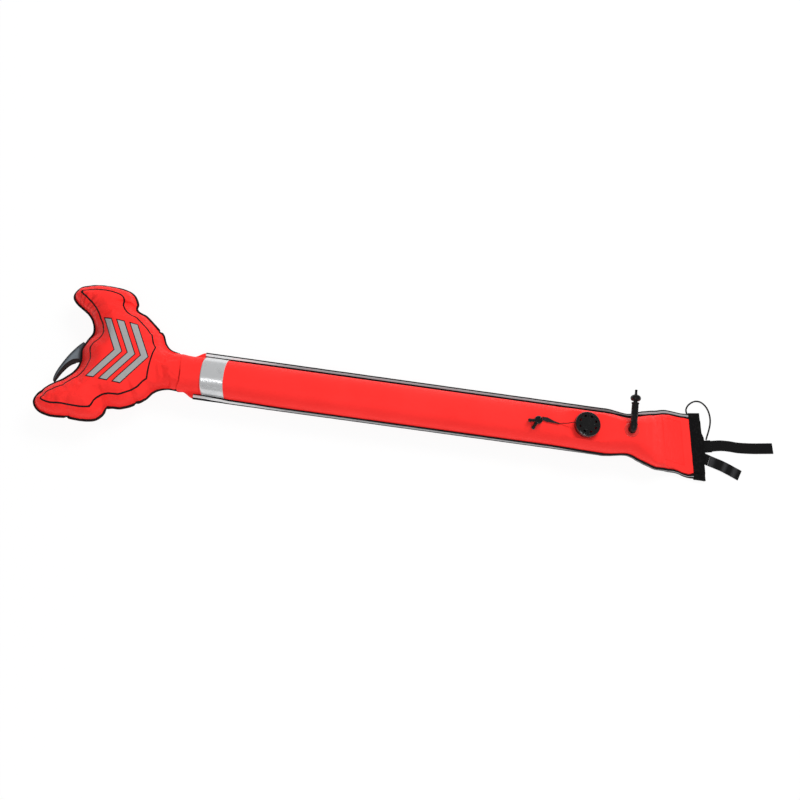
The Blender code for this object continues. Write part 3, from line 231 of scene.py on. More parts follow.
class Bench:
    """A new material's node tree, with one method that makes any node."""

    def __init__(self, name: str) -> None:
        """Start an empty material.

        Args:
            name: the material's name.
        """
        self.material = bpy.data.materials.new(name)
        self.material.use_nodes = True
        self.tree = self.material.node_tree
        self.tree.nodes.clear()

    def add(self, kind: str, sockets: dict | None = None, output: int = 0, **settings: str) -> Level | None:
        """Make a node, and read one of its outputs as a Level; none for the output node."""
        node = add_node(self.tree, kind, sockets, **settings)
        return Level(self, node.outputs[output]) if node.outputs else None

    def mix(self, factor: Level | float, first: Level | Colour, second: Level | Colour) -> Level:
        """Blend two colours by a factor."""
        return self.add("ShaderNodeMix", {0: factor, 6: first, 7: second}, 2, data_type="RGBA")

    def place(self) -> Level:
        """The point in the buoy's own frame, in metres."""
        return self.add("ShaderNodeTexCoord", output=3)

    def parts(self, vector: Level) -> list[Level]:
        """The three coordinates of a vector."""
        split = self.add("ShaderNodeSeparateXYZ", {"Vector": vector})
        return [Level(self, output) for output in split.socket.node.outputs]

    def cloth_place(self) -> list[Level]:
        """Metres along and across the piece's own surface, from its UV map."""
        return self.parts(self.add("ShaderNodeTexCoord", output=2))[:2]

    def axes(self) -> list[Level]:
        """The point's three coordinates in the buoy's own frame."""
        return self.parts(self.place())

    def attribute(self, name: str) -> Level:
        """A number stored on the mesh."""
        return self.add("ShaderNodeAttribute", output=2, attribute_name=name)

    def noise(self, size: float, detail: float = 2.0) -> Level:
        """Soft noise whose blotches are about this many metres wide."""
        sockets = {"Vector": self.place(), "Scale": 1 / size, "Detail": detail}
        return self.add("ShaderNodeTexNoise", sockets)

    def bump(self, height: Level, depth: float, strength: float = 1.0, under: Level | None = None) -> Level:
        """A normal raised by a height from 0 to 1, over this depth in metres.

        Args:
            height: the height.
            depth: what a height of 1 stands for.
            strength: how much of it shows.
            under: the normal that it is laid over.

        Returns:
            The new normal.
        """
        sockets = {"Height": height, "Distance": depth, "Strength": strength}
        if under is not None:
            sockets["Normal"] = under
        return self.add("ShaderNodeBump", sockets)

    def surface(self, **sockets: Level | float | Colour) -> Finish:
        """Finish the material with a Principled shader whose socket names are written with underscores.

        Args:
            **sockets: values or links of the shader.

        Returns:
            The material.
        """
        named = {key.replace("_", " "): value for key, value in sockets.items()}
        shader = self.add("ShaderNodeBsdfPrincipled", named)
        self.add("ShaderNodeOutputMaterial", {"Surface": shader})
        return self.material


# Finishes


@dataclass(frozen=True)
class CoatedNylon:
    """Welded nylon, satin coated, in a fine plain weave; by the mouth a painted shade marks the duckbill's
    imprint.
    """

    name: str = "coated_nylon"
    pitch: float = 0.9 * MM
    roughness: float = 0.50
    duckbill: tuple[float, ...] = (-58 * MM, 7 * MM, 25 * MM, 47 * MM)

    def weave(self, bench: Bench) -> Level:
        """Height of the plain weave, from -1 to 1."""
        along, across = bench.cloth_place()
        return (along * (math.tau / self.pitch)).sine() * (across * (math.tau / self.pitch)).sine()

    def folds(self, bench: Bench) -> Level | float:
        """Height of the folds drawn into the cloth."""
        return 0.0

    def colour(self, bench: Bench) -> Level:
        """Red with faint clouds, deeper where the cloth was creased, with painted shade over the duckbill's
        imprint, darker along its outline.

        Args:
            bench: the material's bench.

        Returns:
            The colour.
        """
        clouds = bench.noise(95 * MM).ramp(0.35, 0.75) * 0.30
        creased = bench.noise(7 * MM, 4).ramp(0.52, 0.80) * 0.16
        # painted shade over the duckbill's imprint, and a darker painted shade line along its outline
        behind = self.behind(bench, 1.1 * MM)
        rim = behind - self.behind(bench, -0.6 * MM)
        return bench.mix((clouds + creased + behind * 0.16 + rim * 0.5).clamped(), RED, DEEP_RED)

    def behind(self, bench: Bench, grow: float) -> Level:
        """1 over the duckbill's imprint, grown by this much, where shade is painted.

        Args:
            bench: the material's bench.
            grow: how much wider it is drawn.

        Returns:
            The mask.
        """
        middle_x, middle_y, half_x, half_y = self.duckbill
        x, y, _ = bench.axes()
        along = abs(x + y * MOUTH_SLANT - middle_x).ramp(half_x + grow, half_x + grow + 1.2 * MM)
        across = abs(y - middle_y).ramp(half_y + grow, half_y + grow + 1.2 * MM)
        return (1 - along) * (1 - across)

    def build(self) -> Finish:
        """Make the material.

        Returns:
            The material.
        """
        bench = Bench(self.name)
        crinkle = bench.bump(bench.noise(11 * MM, 4) + self.folds(bench), 0.7 * MM, 0.5)
        normal = bench.bump(self.weave(bench), 0.05 * MM, 0.5, crinkle)
        rough = self.roughness + bench.noise(24 * MM, 3) * 0.10
        return bench.surface(
            Base_Color=self.colour(bench), Roughness=rough, Normal=normal,
            Specular_IOR_Level=0.13, Sheen_Weight=0.01, Sheen_Roughness=0.5,
        )


@dataclass(frozen=True)
class PrintedNylon(CoatedNylon):
    """The head's nylon: grey chevrons with thin black outlines, and a black line inside the seam."""

    name: str = "printed_nylon"
    shift: float = 6.0 * MM
    slope: float = 0.62
    first_band: float = -133 * MM
    band_pitch: float = 27 * MM
    band_count: int = 3
    band_width: float = 18 * MM
    half_height: float = 66 * MM
    border: float = 21 * MM
    border_line: float = 3.0 * MM
    neck_limit: float = -34 * MM
    line: float = 2.2 * MM
    fan: Pair = (-250 * MM, 39 * MM)
    fan_reach: float = 60 * MM
    # centre and half sizes of a soft painted shade patch over the head's bar
    bend: tuple[float, ...] = (-182 * MM, 28 * MM, 34 * MM, 85 * MM)

    def axes(self, bench: Bench) -> tuple[Level, Level]:
        """The place along and across the head.

        Args:
            bench: the material's bench.

        Returns:
            Both places, in metres from the neck's joint.
        """
        x, y, _ = bench.axes()
        x, y, cos, sin = x - HEAD_X, y - self.shift, math.cos(HEAD_YAW), math.sin(HEAD_YAW)
        return x * cos + y * sin, y * cos - x * sin

    def folds(self, bench: Bench) -> Level:
        """A fan of soft folds from the inner bend out over the upper lobe.

        Args:
            bench: the material's bench.

        Returns:
            Their height, from 0 to 1.
        """
        along, across = self.axes(bench)
        x, y = along - self.fan[0], across - self.fan[1]
        turn = y.turn(x)
        reach = (x * x + y * y) * (1 / self.fan_reach**2)
        wave = (turn * 36 + bench.noise(25 * MM) * 6).sine().ramp(0.2, 1.0)
        ring = wave * reach.ramp(0.5, 0.8) * (1 - reach.ramp(1.2, 2.2))
        return ring * turn.ramp(0.35, 0.7) * (1 - turn.ramp(1.3, 1.6))

    def colour(self, bench: Bench) -> Level:
        """Red cloth with painted shade, the grey chevrons and their black outlines.

        Args:
            bench: the material's bench.

        Returns:
            The colour.
        """
        along, across = self.axes(bench)
        run = along + abs(across) * self.slope - self.first_band
        end = self.band_pitch * (self.band_count - 1) + self.band_width
        step = (run / self.band_pitch).fraction() * self.band_pitch
        seam = bench.attribute("seam_distance")
        inset = seam.least(self.neck_limit - along)
        line, limit = self.line, self.border + 5 * MM
        within = (run > 0.0) * (run < end) * (step < self.band_width) * (inset > limit)
        within = within * (abs(across) < self.half_height)
        inner = (step > line) * (step < self.band_width - line) * (inset > limit + line)
        inner = inner * (abs(across) < self.half_height - line)
        # painted shade: the head's red is drawn a fifth deeper than the same nylon on the tube
        red = bench.mix(0.2, super().colour(bench), DEEP_RED)
        # painted shade: a soft dark patch over the head's bar
        x, y = (along - self.bend[0]) / self.bend[2], (across - self.bend[1]) / self.bend[3]
        shaded = (1 - (x * x + y * y).ramp(0.1, 1.4)) * 0.3
        # painted shade: darker red in the fan of folds, and over the bar's patch
        red = bench.mix((self.folds(bench) * 0.7 + shaded).clamped(), red, (0.52, 0.012, 0.010, 1.0))
        grey = bench.mix(bench.noise(3 * MM, 3) * 0.35, PRINT_GREY, DULL_SILVER)
        border = (inset > self.border) * (inset < self.border + self.border_line)
        printed = bench.mix(within, red, INK)
        printed = bench.mix(within * inner, printed, grey)
        edge = seam < 3.4 * MM - along.ramp(-75 * MM, -15 * MM) * (2.8 * MM)
        ink = (border + edge).clamped()
        return bench.mix(ink, printed, INK)


@dataclass(frozen=True)
class BindingTape:
    """Black grosgrain tape with ribs across its length."""

    name: str = "binding_tape"
    rib: float = 1.1 * MM
    colour: Colour = BLACK
    worn: Colour = WORN_BLACK

    def build(self) -> Finish:
        """Make the material.

        Returns:
            The material.
        """
        bench = Bench(self.name)
        along, across = bench.cloth_place()
        ribs = abs((along * (math.pi / self.rib)).sine())
        threads = abs((across * (math.pi / (0.6 * MM))).sine())
        shade = (bench.noise(5 * MM, 4).ramp(0.45, 0.75) * 0.6 + ribs * 0.2).clamped()
        normal = bench.bump(ribs * 0.8 + threads * 0.2, 0.16 * MM, 0.8)
        return bench.surface(
            Base_Color=bench.mix(shade, self.colour, self.worn), Roughness=0.62 + bench.noise(9 * MM) * 0.2,
            Normal=normal, Specular_IOR_Level=0.10, Sheen_Weight=0.01,
        )


@dataclass(frozen=True)
class ReflectiveFilm:
    """Silver retroreflective film with small sealed cells."""

    name: str
    bright: Colour = SILVER
    dull: Colour = DULL_SILVER
    cell: float = 2.4 * MM
    metallic: float = 0.45
    roughness: float = 0.24
    relief: float = 0.03 * MM

    def build(self) -> Finish:
        """Make the material.

        Returns:
            The material.
        """
        bench = Bench(self.name)
        along, across = bench.cloth_place()
        spot = bench.add("ShaderNodeCombineXYZ", {0: along, 1: across})
        sockets = {"Vector": spot, "Scale": 1 / self.cell, "Randomness": 0.12}
        cells = bench.add("ShaderNodeTexVoronoi", sockets, feature="DISTANCE_TO_EDGE")
        walls = 1 - cells.ramp(0.02, 0.09)
        scuffs = bench.noise(14 * MM, 5).ramp(0.50, 0.78)
        shade = (walls * 0.35 + scuffs * 0.4).clamped()
        normal = bench.bump(cells.ramp(0.0, 0.12), self.relief, 0.4)
        return bench.surface(
            Base_Color=self.tone(bench, shade), Metallic=self.metallic,
            Roughness=self.roughness + scuffs * 0.14, Normal=normal,
        )

    def tone(self, bench: Bench, shade: Level) -> Level:
        """The film's colour, from its clean to its scuffed parts."""
        return bench.mix(shade, self.bright, self.dull)


@dataclass(frozen=True)
class PipingFilm(ReflectiveFilm):
    """Reflective piping, brighter near the head and greyer further along, with a stretch of painted shade by
    the valve.
    """

    bright_end: float = -1030 * MM
    dull_from: float = -860 * MM

    def tone(self, bench: Bench, shade: Level) -> Level:
        """The film's colour, dulled along the tube.

        Args:
            bench: the material's bench.
            shade: how scuffed the film is.

        Returns:
            The colour.
        """
        x = bench.axes()[0]
        worn = bench.mix(shade, (0.34, 0.34, 0.35, 1.0), (0.20, 0.20, 0.21, 1.0))
        # painted shade: the piping is drawn dark between -330 and -140 mm along the tube
        rubbed = x.ramp(-330 * MM, -220 * MM) * (1 - x.ramp(-190 * MM, -140 * MM)) * 0.7
        worn = bench.mix(rubbed, worn, (0.07, 0.06, 0.06, 1.0))
        return bench.mix(x.ramp(self.bright_end, self.dull_from), super().tone(bench, shade), worn)


@dataclass(frozen=True)
class Webbing:
    """Black herringbone webbing, with painted highlights and lower roughness at places counted along it."""

    name: str
    sheen: float = 0.02
    roughness: float = 0.62
    rib: float = 1.5 * MM
    herring: float = 4.2 * MM
    # places along the strap and reaches of the painted highlights, and the highlights' colour
    pressed: Pairs = ()
    satin: Colour = (0.036, 0.036, 0.038, 1.0)

    def build(self) -> Finish:
        """Make the material.

        Returns:
            The material.
        """
        bench = Bench(self.name)
        along, across = bench.cloth_place()
        zigzag = abs((across / self.herring).fraction() - 0.5) * 2.0
        ribs = ((along / self.rib + zigzag * 1.4) * math.tau).sine() * 0.5 + 0.5
        lines = abs((across * (math.pi / self.herring)).sine()).ramp(0.0, 0.25)
        fuzz = bench.noise(1.2 * MM, 4)
        shade = (ribs * 0.5 + fuzz.ramp(0.5, 0.8) * 0.5).clamped()
        normal = bench.bump(ribs * 0.7 + lines * 0.3, 0.28 * MM, 0.8)
        cloth, rough = bench.mix(shade, BLACK, WORN_BLACK), self.roughness
        # painted highlights where the strap's bows catch the light, with lower roughness there
        for place, reach in self.pressed:
            near = 1 - abs(along - place).ramp(0.0, reach)
            cloth = bench.mix(near * (0.45 + fuzz * 0.7), cloth, self.satin)
            rough = rough - near * 0.2
        return bench.surface(
            Base_Color=cloth, Roughness=rough, Normal=normal, Sheen_Weight=self.sheen,
            Specular_IOR_Level=0.18,
        )


@dataclass(frozen=True)
class Moulded:
    """Moulded plastic or rubber, with fine grain and lighter rubbed edges."""

    name: str
    colour: Colour = BLACK
    worn: Colour = WORN_BLACK
    roughness: float = 0.24
    grain: float = 0.7 * MM
    depth: float = 0.02 * MM
    coat: float = 0.0
    specular: float = 0.4
    transmission: float = 0.0

    def build(self) -> Finish:
        """Make the material.

        Returns:
            The material.
        """
        bench = Bench(self.name)
        grain = bench.noise(self.grain, 3)
        rubbed = bench.noise(4 * MM, 5).ramp(0.50, 0.74)
        scratches = bench.noise(1.6 * MM, 6).ramp(0.60, 0.66)
        return bench.surface(
            Base_Color=self.tone(bench, rubbed),
            Roughness=self.roughness + rubbed * 0.12 + scratches * 0.08,
            Normal=bench.bump(grain, self.depth, 0.6), Coat_Weight=self.coat, Coat_Roughness=0.12,
            Specular_IOR_Level=self.specular, Transmission_Weight=self.transmission,
        )

    def tone(self, bench: Bench, rubbed: Level) -> Level:
        """The plastic's colour, lighter where it is rubbed."""
        return bench.mix(rubbed * 0.6, self.colour, self.worn)


@dataclass(frozen=True)
class SeatPlastic(Moulded):
    """The relief valve's seat: black, with the dark red ring that shows through the vents."""

    ring: Pair = (14.5 * MM, 21.5 * MM)
    ring_tone: Colour = (0.30, 0.010, 0.014, 1.0)

    def tone(self, bench: Bench, rubbed: Level) -> Level:
        """Black, and dark red within the ring.

        Args:
            bench: the material's bench.
            rubbed: how rubbed the plastic is.

        Returns:
            The colour.
        """
        x, y, _ = bench.axes()
        x, y = x - VALVE_AT[0], y - VALVE_AT[1]
        reach = x * x + y * y
        worn = bench.noise(5 * MM).ramp(0.35, 0.6)
        within = (reach > self.ring[0] ** 2) * (reach < self.ring[1] ** 2) * worn
        return bench.mix(within, super().tone(bench, rubbed), self.ring_tone)


@dataclass(frozen=True)
class SpringWire:
    """Drawn steel wire."""

    name: str = "spring_wire"

    def build(self) -> Finish:
        """Make the material.

        Returns:
            The material.
        """
        bench = Bench(self.name)
        drawn = bench.noise(0.8 * MM, 3)
        tone = bench.mix(drawn * 0.5, (0.62, 0.62, 0.63, 1.0), (0.40, 0.39, 0.38, 1.0))
        return bench.surface(Base_Color=tone, Metallic=1.0, Roughness=0.24 + drawn * 0.14)


@dataclass(frozen=True)
class Braid:
    """A cord's braided sheath."""

    name: str = "braid"
    strand: float = 1.5 * MM

    def build(self) -> Finish:
        """Make the material.

        Returns:
            The material.
        """
        bench = Bench(self.name)
        along, across = bench.cloth_place()
        left = ((along + across) * (math.tau / self.strand)).sine()
        right = ((along - across) * (math.tau / self.strand)).sine()
        strands = (left * right) * 0.5 + 0.5
        return bench.surface(
            Base_Color=bench.mix(strands * 0.8, BLACK, WORN_BLACK), Roughness=0.66 - strands * 0.1,
            Normal=bench.bump(strands, 0.2 * MM, 0.7), Sheen_Weight=0.04, Specular_IOR_Level=0.2,
        )


@dataclass(frozen=True)
class FinCloth:
    """Slate-blue cloth, light along its middle and darker to its edges and tip."""

    name: str = "fin_cloth"
    pitch: float = 0.9 * MM

    def build(self) -> Finish:
        """Make the material.

        Returns:
            The material.
        """
        bench = Bench(self.name)
        middle = bench.attribute("seam_distance").ramp(0.6 * MM, 7.0 * MM)
        edge = bench.attribute("inner_edge") < 0.0
        clouds = bench.noise(16 * MM, 3)
        light = (middle * (0.45 + clouds * 0.7)).clamped()
        along, across = bench.cloth_place()
        weave = math.tau / self.pitch
        threads = (along * weave).sine() * (across * weave).sine()
        return bench.surface(
            Base_Color=bench.mix(edge, bench.mix(light, DARK_SLATE, SLATE), INK),
            Roughness=0.5 + clouds * 0.12, Sheen_Weight=0.1,
            Normal=bench.bump(threads, 0.06 * MM, 0.5, bench.bump(clouds, 0.6 * MM, 0.5)),
        )


def built(build: Callable[[], Finish]) -> Finish:
    """A field that a finish's own build method fills."""
    return field(default_factory=build)


@dataclass
class Finishes:
    """Every finish of the buoy, built once."""

    nylon: Finish = built(CoatedNylon().build)
    printed: Finish = built(PrintedNylon().build)
    binding: Finish = built(BindingTape().build)
    outline: Finish = built(BindingTape("outline_tape", 1.6 * MM, INK, (0.035, 0.026, 0.026, 1.0)).build)
    piping: Finish = built(
        PipingFilm("reflective_piping", (0.82, 0.82, 0.83, 1.0), metallic=0.2, roughness=0.4).build
    )
    film: Finish = built(ReflectiveFilm("reflective_film").build)
    webbing: Finish = built(Webbing("webbing").build)
    # the short strap's webbing, with painted highlights along it
    satin_webbing: Finish = built(
        Webbing(
            "satin_webbing", roughness=0.5, pressed=((4 * MM, 13 * MM), (35 * MM, 8 * MM), (58 * MM, 9 * MM))
        ).build
    )
    plastic: Finish = built(Moulded("glossy_plastic", roughness=0.2, coat=0.5, specular=0.5).build)
    dull_plastic: Finish = built(Moulded("dull_plastic", roughness=0.42, depth=0.04 * MM).build)
    rubber: Finish = built(
        Moulded("rubber", (0.006, 0.006, 0.006, 1.0), roughness=0.62, depth=0.05 * MM, specular=0.25).build
    )
    clear_red: Finish = built(
        Moulded(
            "clear_red_plastic", (0.78, 0.040, 0.034, 1.0), (0.62, 0.02, 0.018, 1.0), 0.2, transmission=0.18
        ).build
    )
    sleeve: Finish = built(
        Moulded(
            "soft_sleeve", (0.020, 0.014, 0.015, 1.0), (0.075, 0.050, 0.052, 1.0), 0.5, specular=0.3
        ).build
    )
    seat: Finish = built(SeatPlastic("valve_seat_plastic").build)
    wire: Finish = built(SpringWire().build)
    braid: Finish = built(Braid().build)
    fin: Finish = built(FinCloth().build)
    thread: Finish = built(
        Moulded("thread", (0.012, 0.012, 0.013, 1.0), roughness=0.7, grain=0.4 * MM, specular=0.15).build
    )


# Lines and numbers


def ease(share: float) -> float:
    """A smooth step from 0 to 1."""
    share = min(max(share, 0.0), 1.0)
    return share * share * (3 - 2 * share)


def along_keys(keys: list[Pair], x: float) -> float:
    """The value at x on a smooth line through keys in rising x.

    Args:
        keys: places and values.
        x: the place to read.

    Returns:
        The value there.
    """
    if x <= keys[0][0]:
        return keys[0][1]
    for (x0, v0), (x1, v1) in zip(keys, keys[1:]):
        if x <= x1:
            return v0 + (v1 - v0) * ease((x - x0) / (x1 - x0))
    return keys[-1][1]


def flowing(keys: list[Pair], x: float) -> float:
    """The value at x on a line through keys in rising x that keeps its slope at each one.

    Args:
        keys: places and values.
        x: the place to read.

    Returns:
        The value there.
    """
    if x <= keys[0][0]:
        return keys[0][1]
    (x0, _), (x1, v1), (x2, v2), (x3, _) = keys[0], keys[1], keys[-2], keys[-1]
    padded = [(2 * x0 - x1, v1), *keys, (2 * x3 - x2, v2)]
    for before, (start, low), (end, high), after in zip(padded, padded[1:], padded[2:], padded[3:]):
        if x <= end:
            span = end - start
            t = (x - start) / span
            first = span * (high - before[1]) / (end - before[0])
            last = span * (after[1] - low) / (after[0] - start)
            return low + (high - low) * ease(t) + first * t * (1 - t) ** 2 - last * t * t * (1 - t)
    return keys[-1][1]


def curve_through(points: Line, steps: int) -> Line:
    """Points on a smooth curve through the given ones.

    Args:
        points: the points to pass through.
        steps: how many points each stretch gets.

    Returns:
        The curve's points, both ends included.
    """
    ends = [2 * points[0] - points[1], *points, 2 * points[-1] - points[-2]]
    route = []
    for a, b, c, d in zip(ends, ends[1:], ends[2:], ends[3:]):
        for t in (k / steps for k in range(steps)):
            bend, twist = 2 * a - 5 * b + 4 * c - d, 3 * b - a - 3 * c + d
            route.append(0.5 * (2 * b + (c - a) * t + bend * t**2 + twist * t**3))
    return [*route, points[-1]]


def even_steps(points: Line, step: float) -> Line:
    """The same line with its points about one step apart.

    Args:
        points: the line.
        step: the wanted distance.

    Returns:
        The new line, with the same ends.
    """
    lengths = [(b - a).length for a, b in zip(points, points[1:])]
    count = max(2, round(sum(lengths) / step))
    stride = sum(lengths) / count
    route, walked, target = [points[0]], 0.0, stride
    for a, b, length in zip(points, points[1:], lengths):
        while length > 0 and target <= walked + length and len(route) < count:
            route.append(a.lerp(b, (target - walked) / length))
            target += stride
        walked += length
    return [*route, points[-1]]


def line_length(points: Line) -> float:
    """The length of a line of points."""
    return sum((b - a).length for a, b in zip(points, points[1:]))


def level_rows(points: Line) -> np.ndarray:
    """X and Y of each point, one row for each."""
    return np.array([(point.x, point.y) for point in points])


def stations(start: float, end: float, step: float) -> list[float]:
    """Places from start to end, evenly spaced at about one step."""
    count = max(1, round(abs(end - start) / step))
    return [start + (end - start) * k / count for k in range(count + 1)]


def ripple(place: float, size: float, row: float = 0.0) -> float:
    """Soft noise from about -1 to 1 along a line, with waves of about this size."""
    return noise.noise(Vector((place / size, row, 3.7)))


def leftwards(line: Line, k: int, closed: bool = False) -> Vector:
    """The level direction to the left of a line's run at one of its points.

    Args:
        line: the line's points.
        k: the point's number.
        closed: whether the line closes on itself.

    Returns:
        A unit vector.
    """
    before, after = (k - 1, (k + 1) % len(line)) if closed else (max(k - 1, 0), min(k + 1, len(line) - 1))
    way = (line[after] - line[before]).normalized()
    return Vector((-way.y, way.x))


def around(radius: float, height: float, steps: int, frame: Matrix) -> Line:
    """Points evenly round a frame's Z axis, from its X axis on."""
    turns = (math.tau * k / steps for k in range(steps))
    return [frame @ Vector((radius * math.cos(t), radius * math.sin(t), height)) for t in turns]


def rounded(section: list[Pair], radius: float, steps: int = 3) -> list[Pair]:
    """A closed section with its corners rounded.

    Args:
        section: the corners in order.
        radius: the rounding, held to a third of the shorter side beside each corner.
        steps: how many points replace each corner.

    Returns:
        The points of the rounded section.
    """
    made, count = [], len(section)
    for k in range(count):
        before, corner, after = (Vector(section[(k + d) % count]) for d in (-1, 0, 1))
        reach = min(radius, (before - corner).length / 3, (after - corner).length / 3)
        start = corner + (before - corner).normalized() * reach
        end = corner + (after - corner).normalized() * reach
        for t in (j / (steps - 1) for j in range(steps)):
            made.append(tuple(start.lerp(corner, t).lerp(corner.lerp(end, t), t)))
    return made


# Making pieces


def link(name: str, mesh: bpy.types.Mesh, finish: Finish) -> Piece:
    """An object of this mesh at the origin, in one finish.

    Args:
        name: the piece's name.
        mesh: its mesh.
        finish: its material.

    Returns:
        The piece.
    """
    mesh.materials.clear()
    mesh.materials.append(finish)
    made = bpy.data.objects.new(name, mesh)
    bpy.context.scene.collection.objects.link(made)
    return made


def close_up(name: str, bm: bmesh.types.BMesh, finish: Finish, closed: bool = True) -> Piece:
    """Turn a bmesh into a smooth-shaded piece.

    Args:
        name: the piece's name.
        bm: its mesh, which is freed.
        finish: its material.
        closed: whether the mesh is a closed body, whose faces are turned outwards.

    Returns:
        The piece.
    """
    if closed:
        bmesh.ops.recalc_face_normals(bm, faces=bm.faces)
    mesh = bpy.data.meshes.new(name)
    bm.to_mesh(mesh)
    bm.free()
    mesh.shade_smooth()
    mesh.set_sharp_from_angle(angle=SHARP)
    return link(name, mesh, finish)


def skin_bmesh(rows: list[Line], wrap: bool = False, caps: bool = False) -> bmesh.types.BMesh:
    """A net of quads through rows of points, with a UV map in metres.

    Args:
        rows: equal rows of points.
        wrap: whether each row closes on itself.
        caps: whether the first and last row are filled.

    Returns:
        The mesh.
    """
    count = len(rows[0])
    columns = count if wrap else count - 1
    reach = [0.0]
    for low, high in zip(rows, rows[1:]):
        reach.append(reach[-1] + (high[count // 2] - low[count // 2]).length)
    girths = []
    for row in rows:
        girth = [0.0]
        for j in range(columns):
            girth.append(girth[-1] + (row[(j + 1) % count] - row[j]).length)
        girths.append(girth)
    bm = bmesh.new()
    layer = bm.loops.layers.uv.new("UVMap")
    lines = [[bm.verts.new(point) for point in row] for row in rows]
    for i in range(len(rows) - 1):
        for j in range(columns):
            n = (j + 1) % count
            face = bm.faces.new((lines[i][j], lines[i][n], lines[i + 1][n], lines[i + 1][j]))
            spots = (
                (reach[i], girths[i][j]), (reach[i], girths[i][j + 1]),
                (reach[i + 1], girths[i + 1][j + 1]), (reach[i + 1], girths[i + 1][j]),
            )
            for loop, spot in zip(face.loops, spots):
                loop[layer].uv = spot
    if caps:
        bm.faces.new(list(reversed(lines[0])))
        bm.faces.new(lines[-1])
    return bm


def sheet_piece(name: str, rows: list[Line], side: Side, wall: float, finish: Finish) -> Piece:
    """A panel of fabric with its wall added on the inside.

    Args:
        name: the piece's name.
        rows: rows of points of its outer face.
        side: whether the outer face points up or down.
        wall: its thickness.
        finish: its material.

    Returns:
        The piece.
    """
    made = close_up(name, skin_bmesh(rows), finish, closed=False)
    total = sum(face.normal.z * face.area for face in made.data.polygons)
    if total * side.value < 0:
        made.data.flip_normals()
    modifier = made.modifiers.new("wall", "SOLIDIFY")
    modifier.thickness = wall
    modifier.offset = -1
    modifier.use_even_offset = False
    return made


def turned_piece(
    name: str, profile: list[Pair], frame: Matrix, finish: Finish, steps: int = 64, bevel: float = 0.25 * MM
) -> Piece:
    """A body turned round its local Z.

    Args:
        name: the piece's name.
        profile: radius and height of each point; one that stays off the axis closes on itself.
        frame: where the axis stands and points.
        finish: its material.
        steps: points round the turn.
        bevel: rounding of its corners.

    Returns:
        The piece.
    """
    if profile[0][0] > 0:
        profile = rounded(profile, bevel)
    else:
        ring = [(0.0, profile[0][1]), *profile[1:-1], (0.0, profile[-1][1])]
        profile = [ring[0], *rounded(ring, bevel)[3:-3], ring[-1]]
    least = 0.001 * MM
    rows = [around(max(radius, least), height, steps, frame) for radius, height in profile]
    if profile[0][0] > least:
        rows.append(rows[0])
    bm = skin_bmesh(rows, wrap=True)
    bmesh.ops.remove_doubles(bm, verts=bm.verts, dist=3 * least)
    return close_up(name, bm, finish)


def swept_rows(points: Line, radius: float, sides: int = 14) -> list[Line]:
    """Rings of points round a line, for a round cord or wire.

    Args:
        points: the line.
        radius: radius of the rings.
        sides: points of each ring.

    Returns:
        One ring for each point.
    """
    rows, side = [], None
    for k, point in enumerate(points):
        way = (points[min(k + 1, len(points) - 1)] - points[max(k - 1, 0)]).normalized()
        if side is None:
            side = way.cross(Vector((0, 0, 1) if abs(way.z) < 0.9 else (1, 0, 0))).normalized()
        side = (side - way * side.dot(way)).normalized()
        lift = side.cross(way)
        turns = (math.tau * j / sides for j in range(sides))
        rows.append([point + (side * math.cos(t) + lift * math.sin(t)) * radius for t in turns])
    return rows


def cord_piece(name: str, points: Line, radius: float, finish: Finish) -> Piece:
    """A round cord along a line of points, with rounded ends.

    Args:
        name: the piece's name.
        points: its line.
        radius: its radius.
        finish: its material.

    Returns:
        The cord.
    """
    rows = swept_rows(points, radius)
    for end in (0, -1):
        rows[end] = [points[end] + (p - points[end]) * 0.82 for p in rows[end]]
    return close_up(name, skin_bmesh(rows, wrap=True, caps=True), finish)


def sectioned_piece(name: str, loops: list[Line], finish: Finish) -> Piece:
    """A closed body through equal closed sections."""
    return close_up(name, skin_bmesh(loops, wrap=True, caps=True), finish)


def settled(piece: Piece) -> Piece:
    """The same piece with its modifiers worked into its mesh.

    Args:
        piece: the piece.

    Returns:
        The same piece.
    """
    bpy.context.view_layer.update()
    graph = bpy.context.evaluated_depsgraph_get()
    mesh = bpy.data.meshes.new_from_object(piece.evaluated_get(graph), depsgraph=graph)
    piece.modifiers.clear()
    piece.data = mesh
    return piece


def finer(piece: Piece) -> None:
    """Subdivide a piece once."""
    modifier = piece.modifiers.new("finer", "SUBSURF")
    modifier.levels = modifier.render_levels = 1


def combine(piece: Piece, others: list[Piece], operation: str) -> Piece:
    """Join other bodies to a piece, or cut them out of it, and drop them.

    Args:
        piece: the body that is kept.
        others: the other bodies.
        operation: UNION or DIFFERENCE.

    Returns:
        The piece.
    """
    for other in others:
        modifier = piece.modifiers.new("combine", "BOOLEAN")
        modifier.operation = operation
        modifier.solver = "EXACT"
        modifier.object = other
    settled(piece)
    for other in others:
        bpy.data.objects.remove(other, do_unlink=True)
    piece.data.shade_smooth()
    piece.data.set_sharp_from_angle(angle=SHARP)
    return piece


def placed(piece: Piece, body: str, slot: str, *nodes: str) -> Piece:
    """Fix a piece to its body, in place of its plain solids.

    Args:
        piece: the finished piece.
        body: the body that it moves with.
        slot: not used.
        nodes: the solids that it replaces.

    Returns:
        The piece.
    """
    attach(piece, body)
    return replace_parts(piece, *nodes) if nodes else piece


# Rows of small repeated parts, made with Geometry Nodes


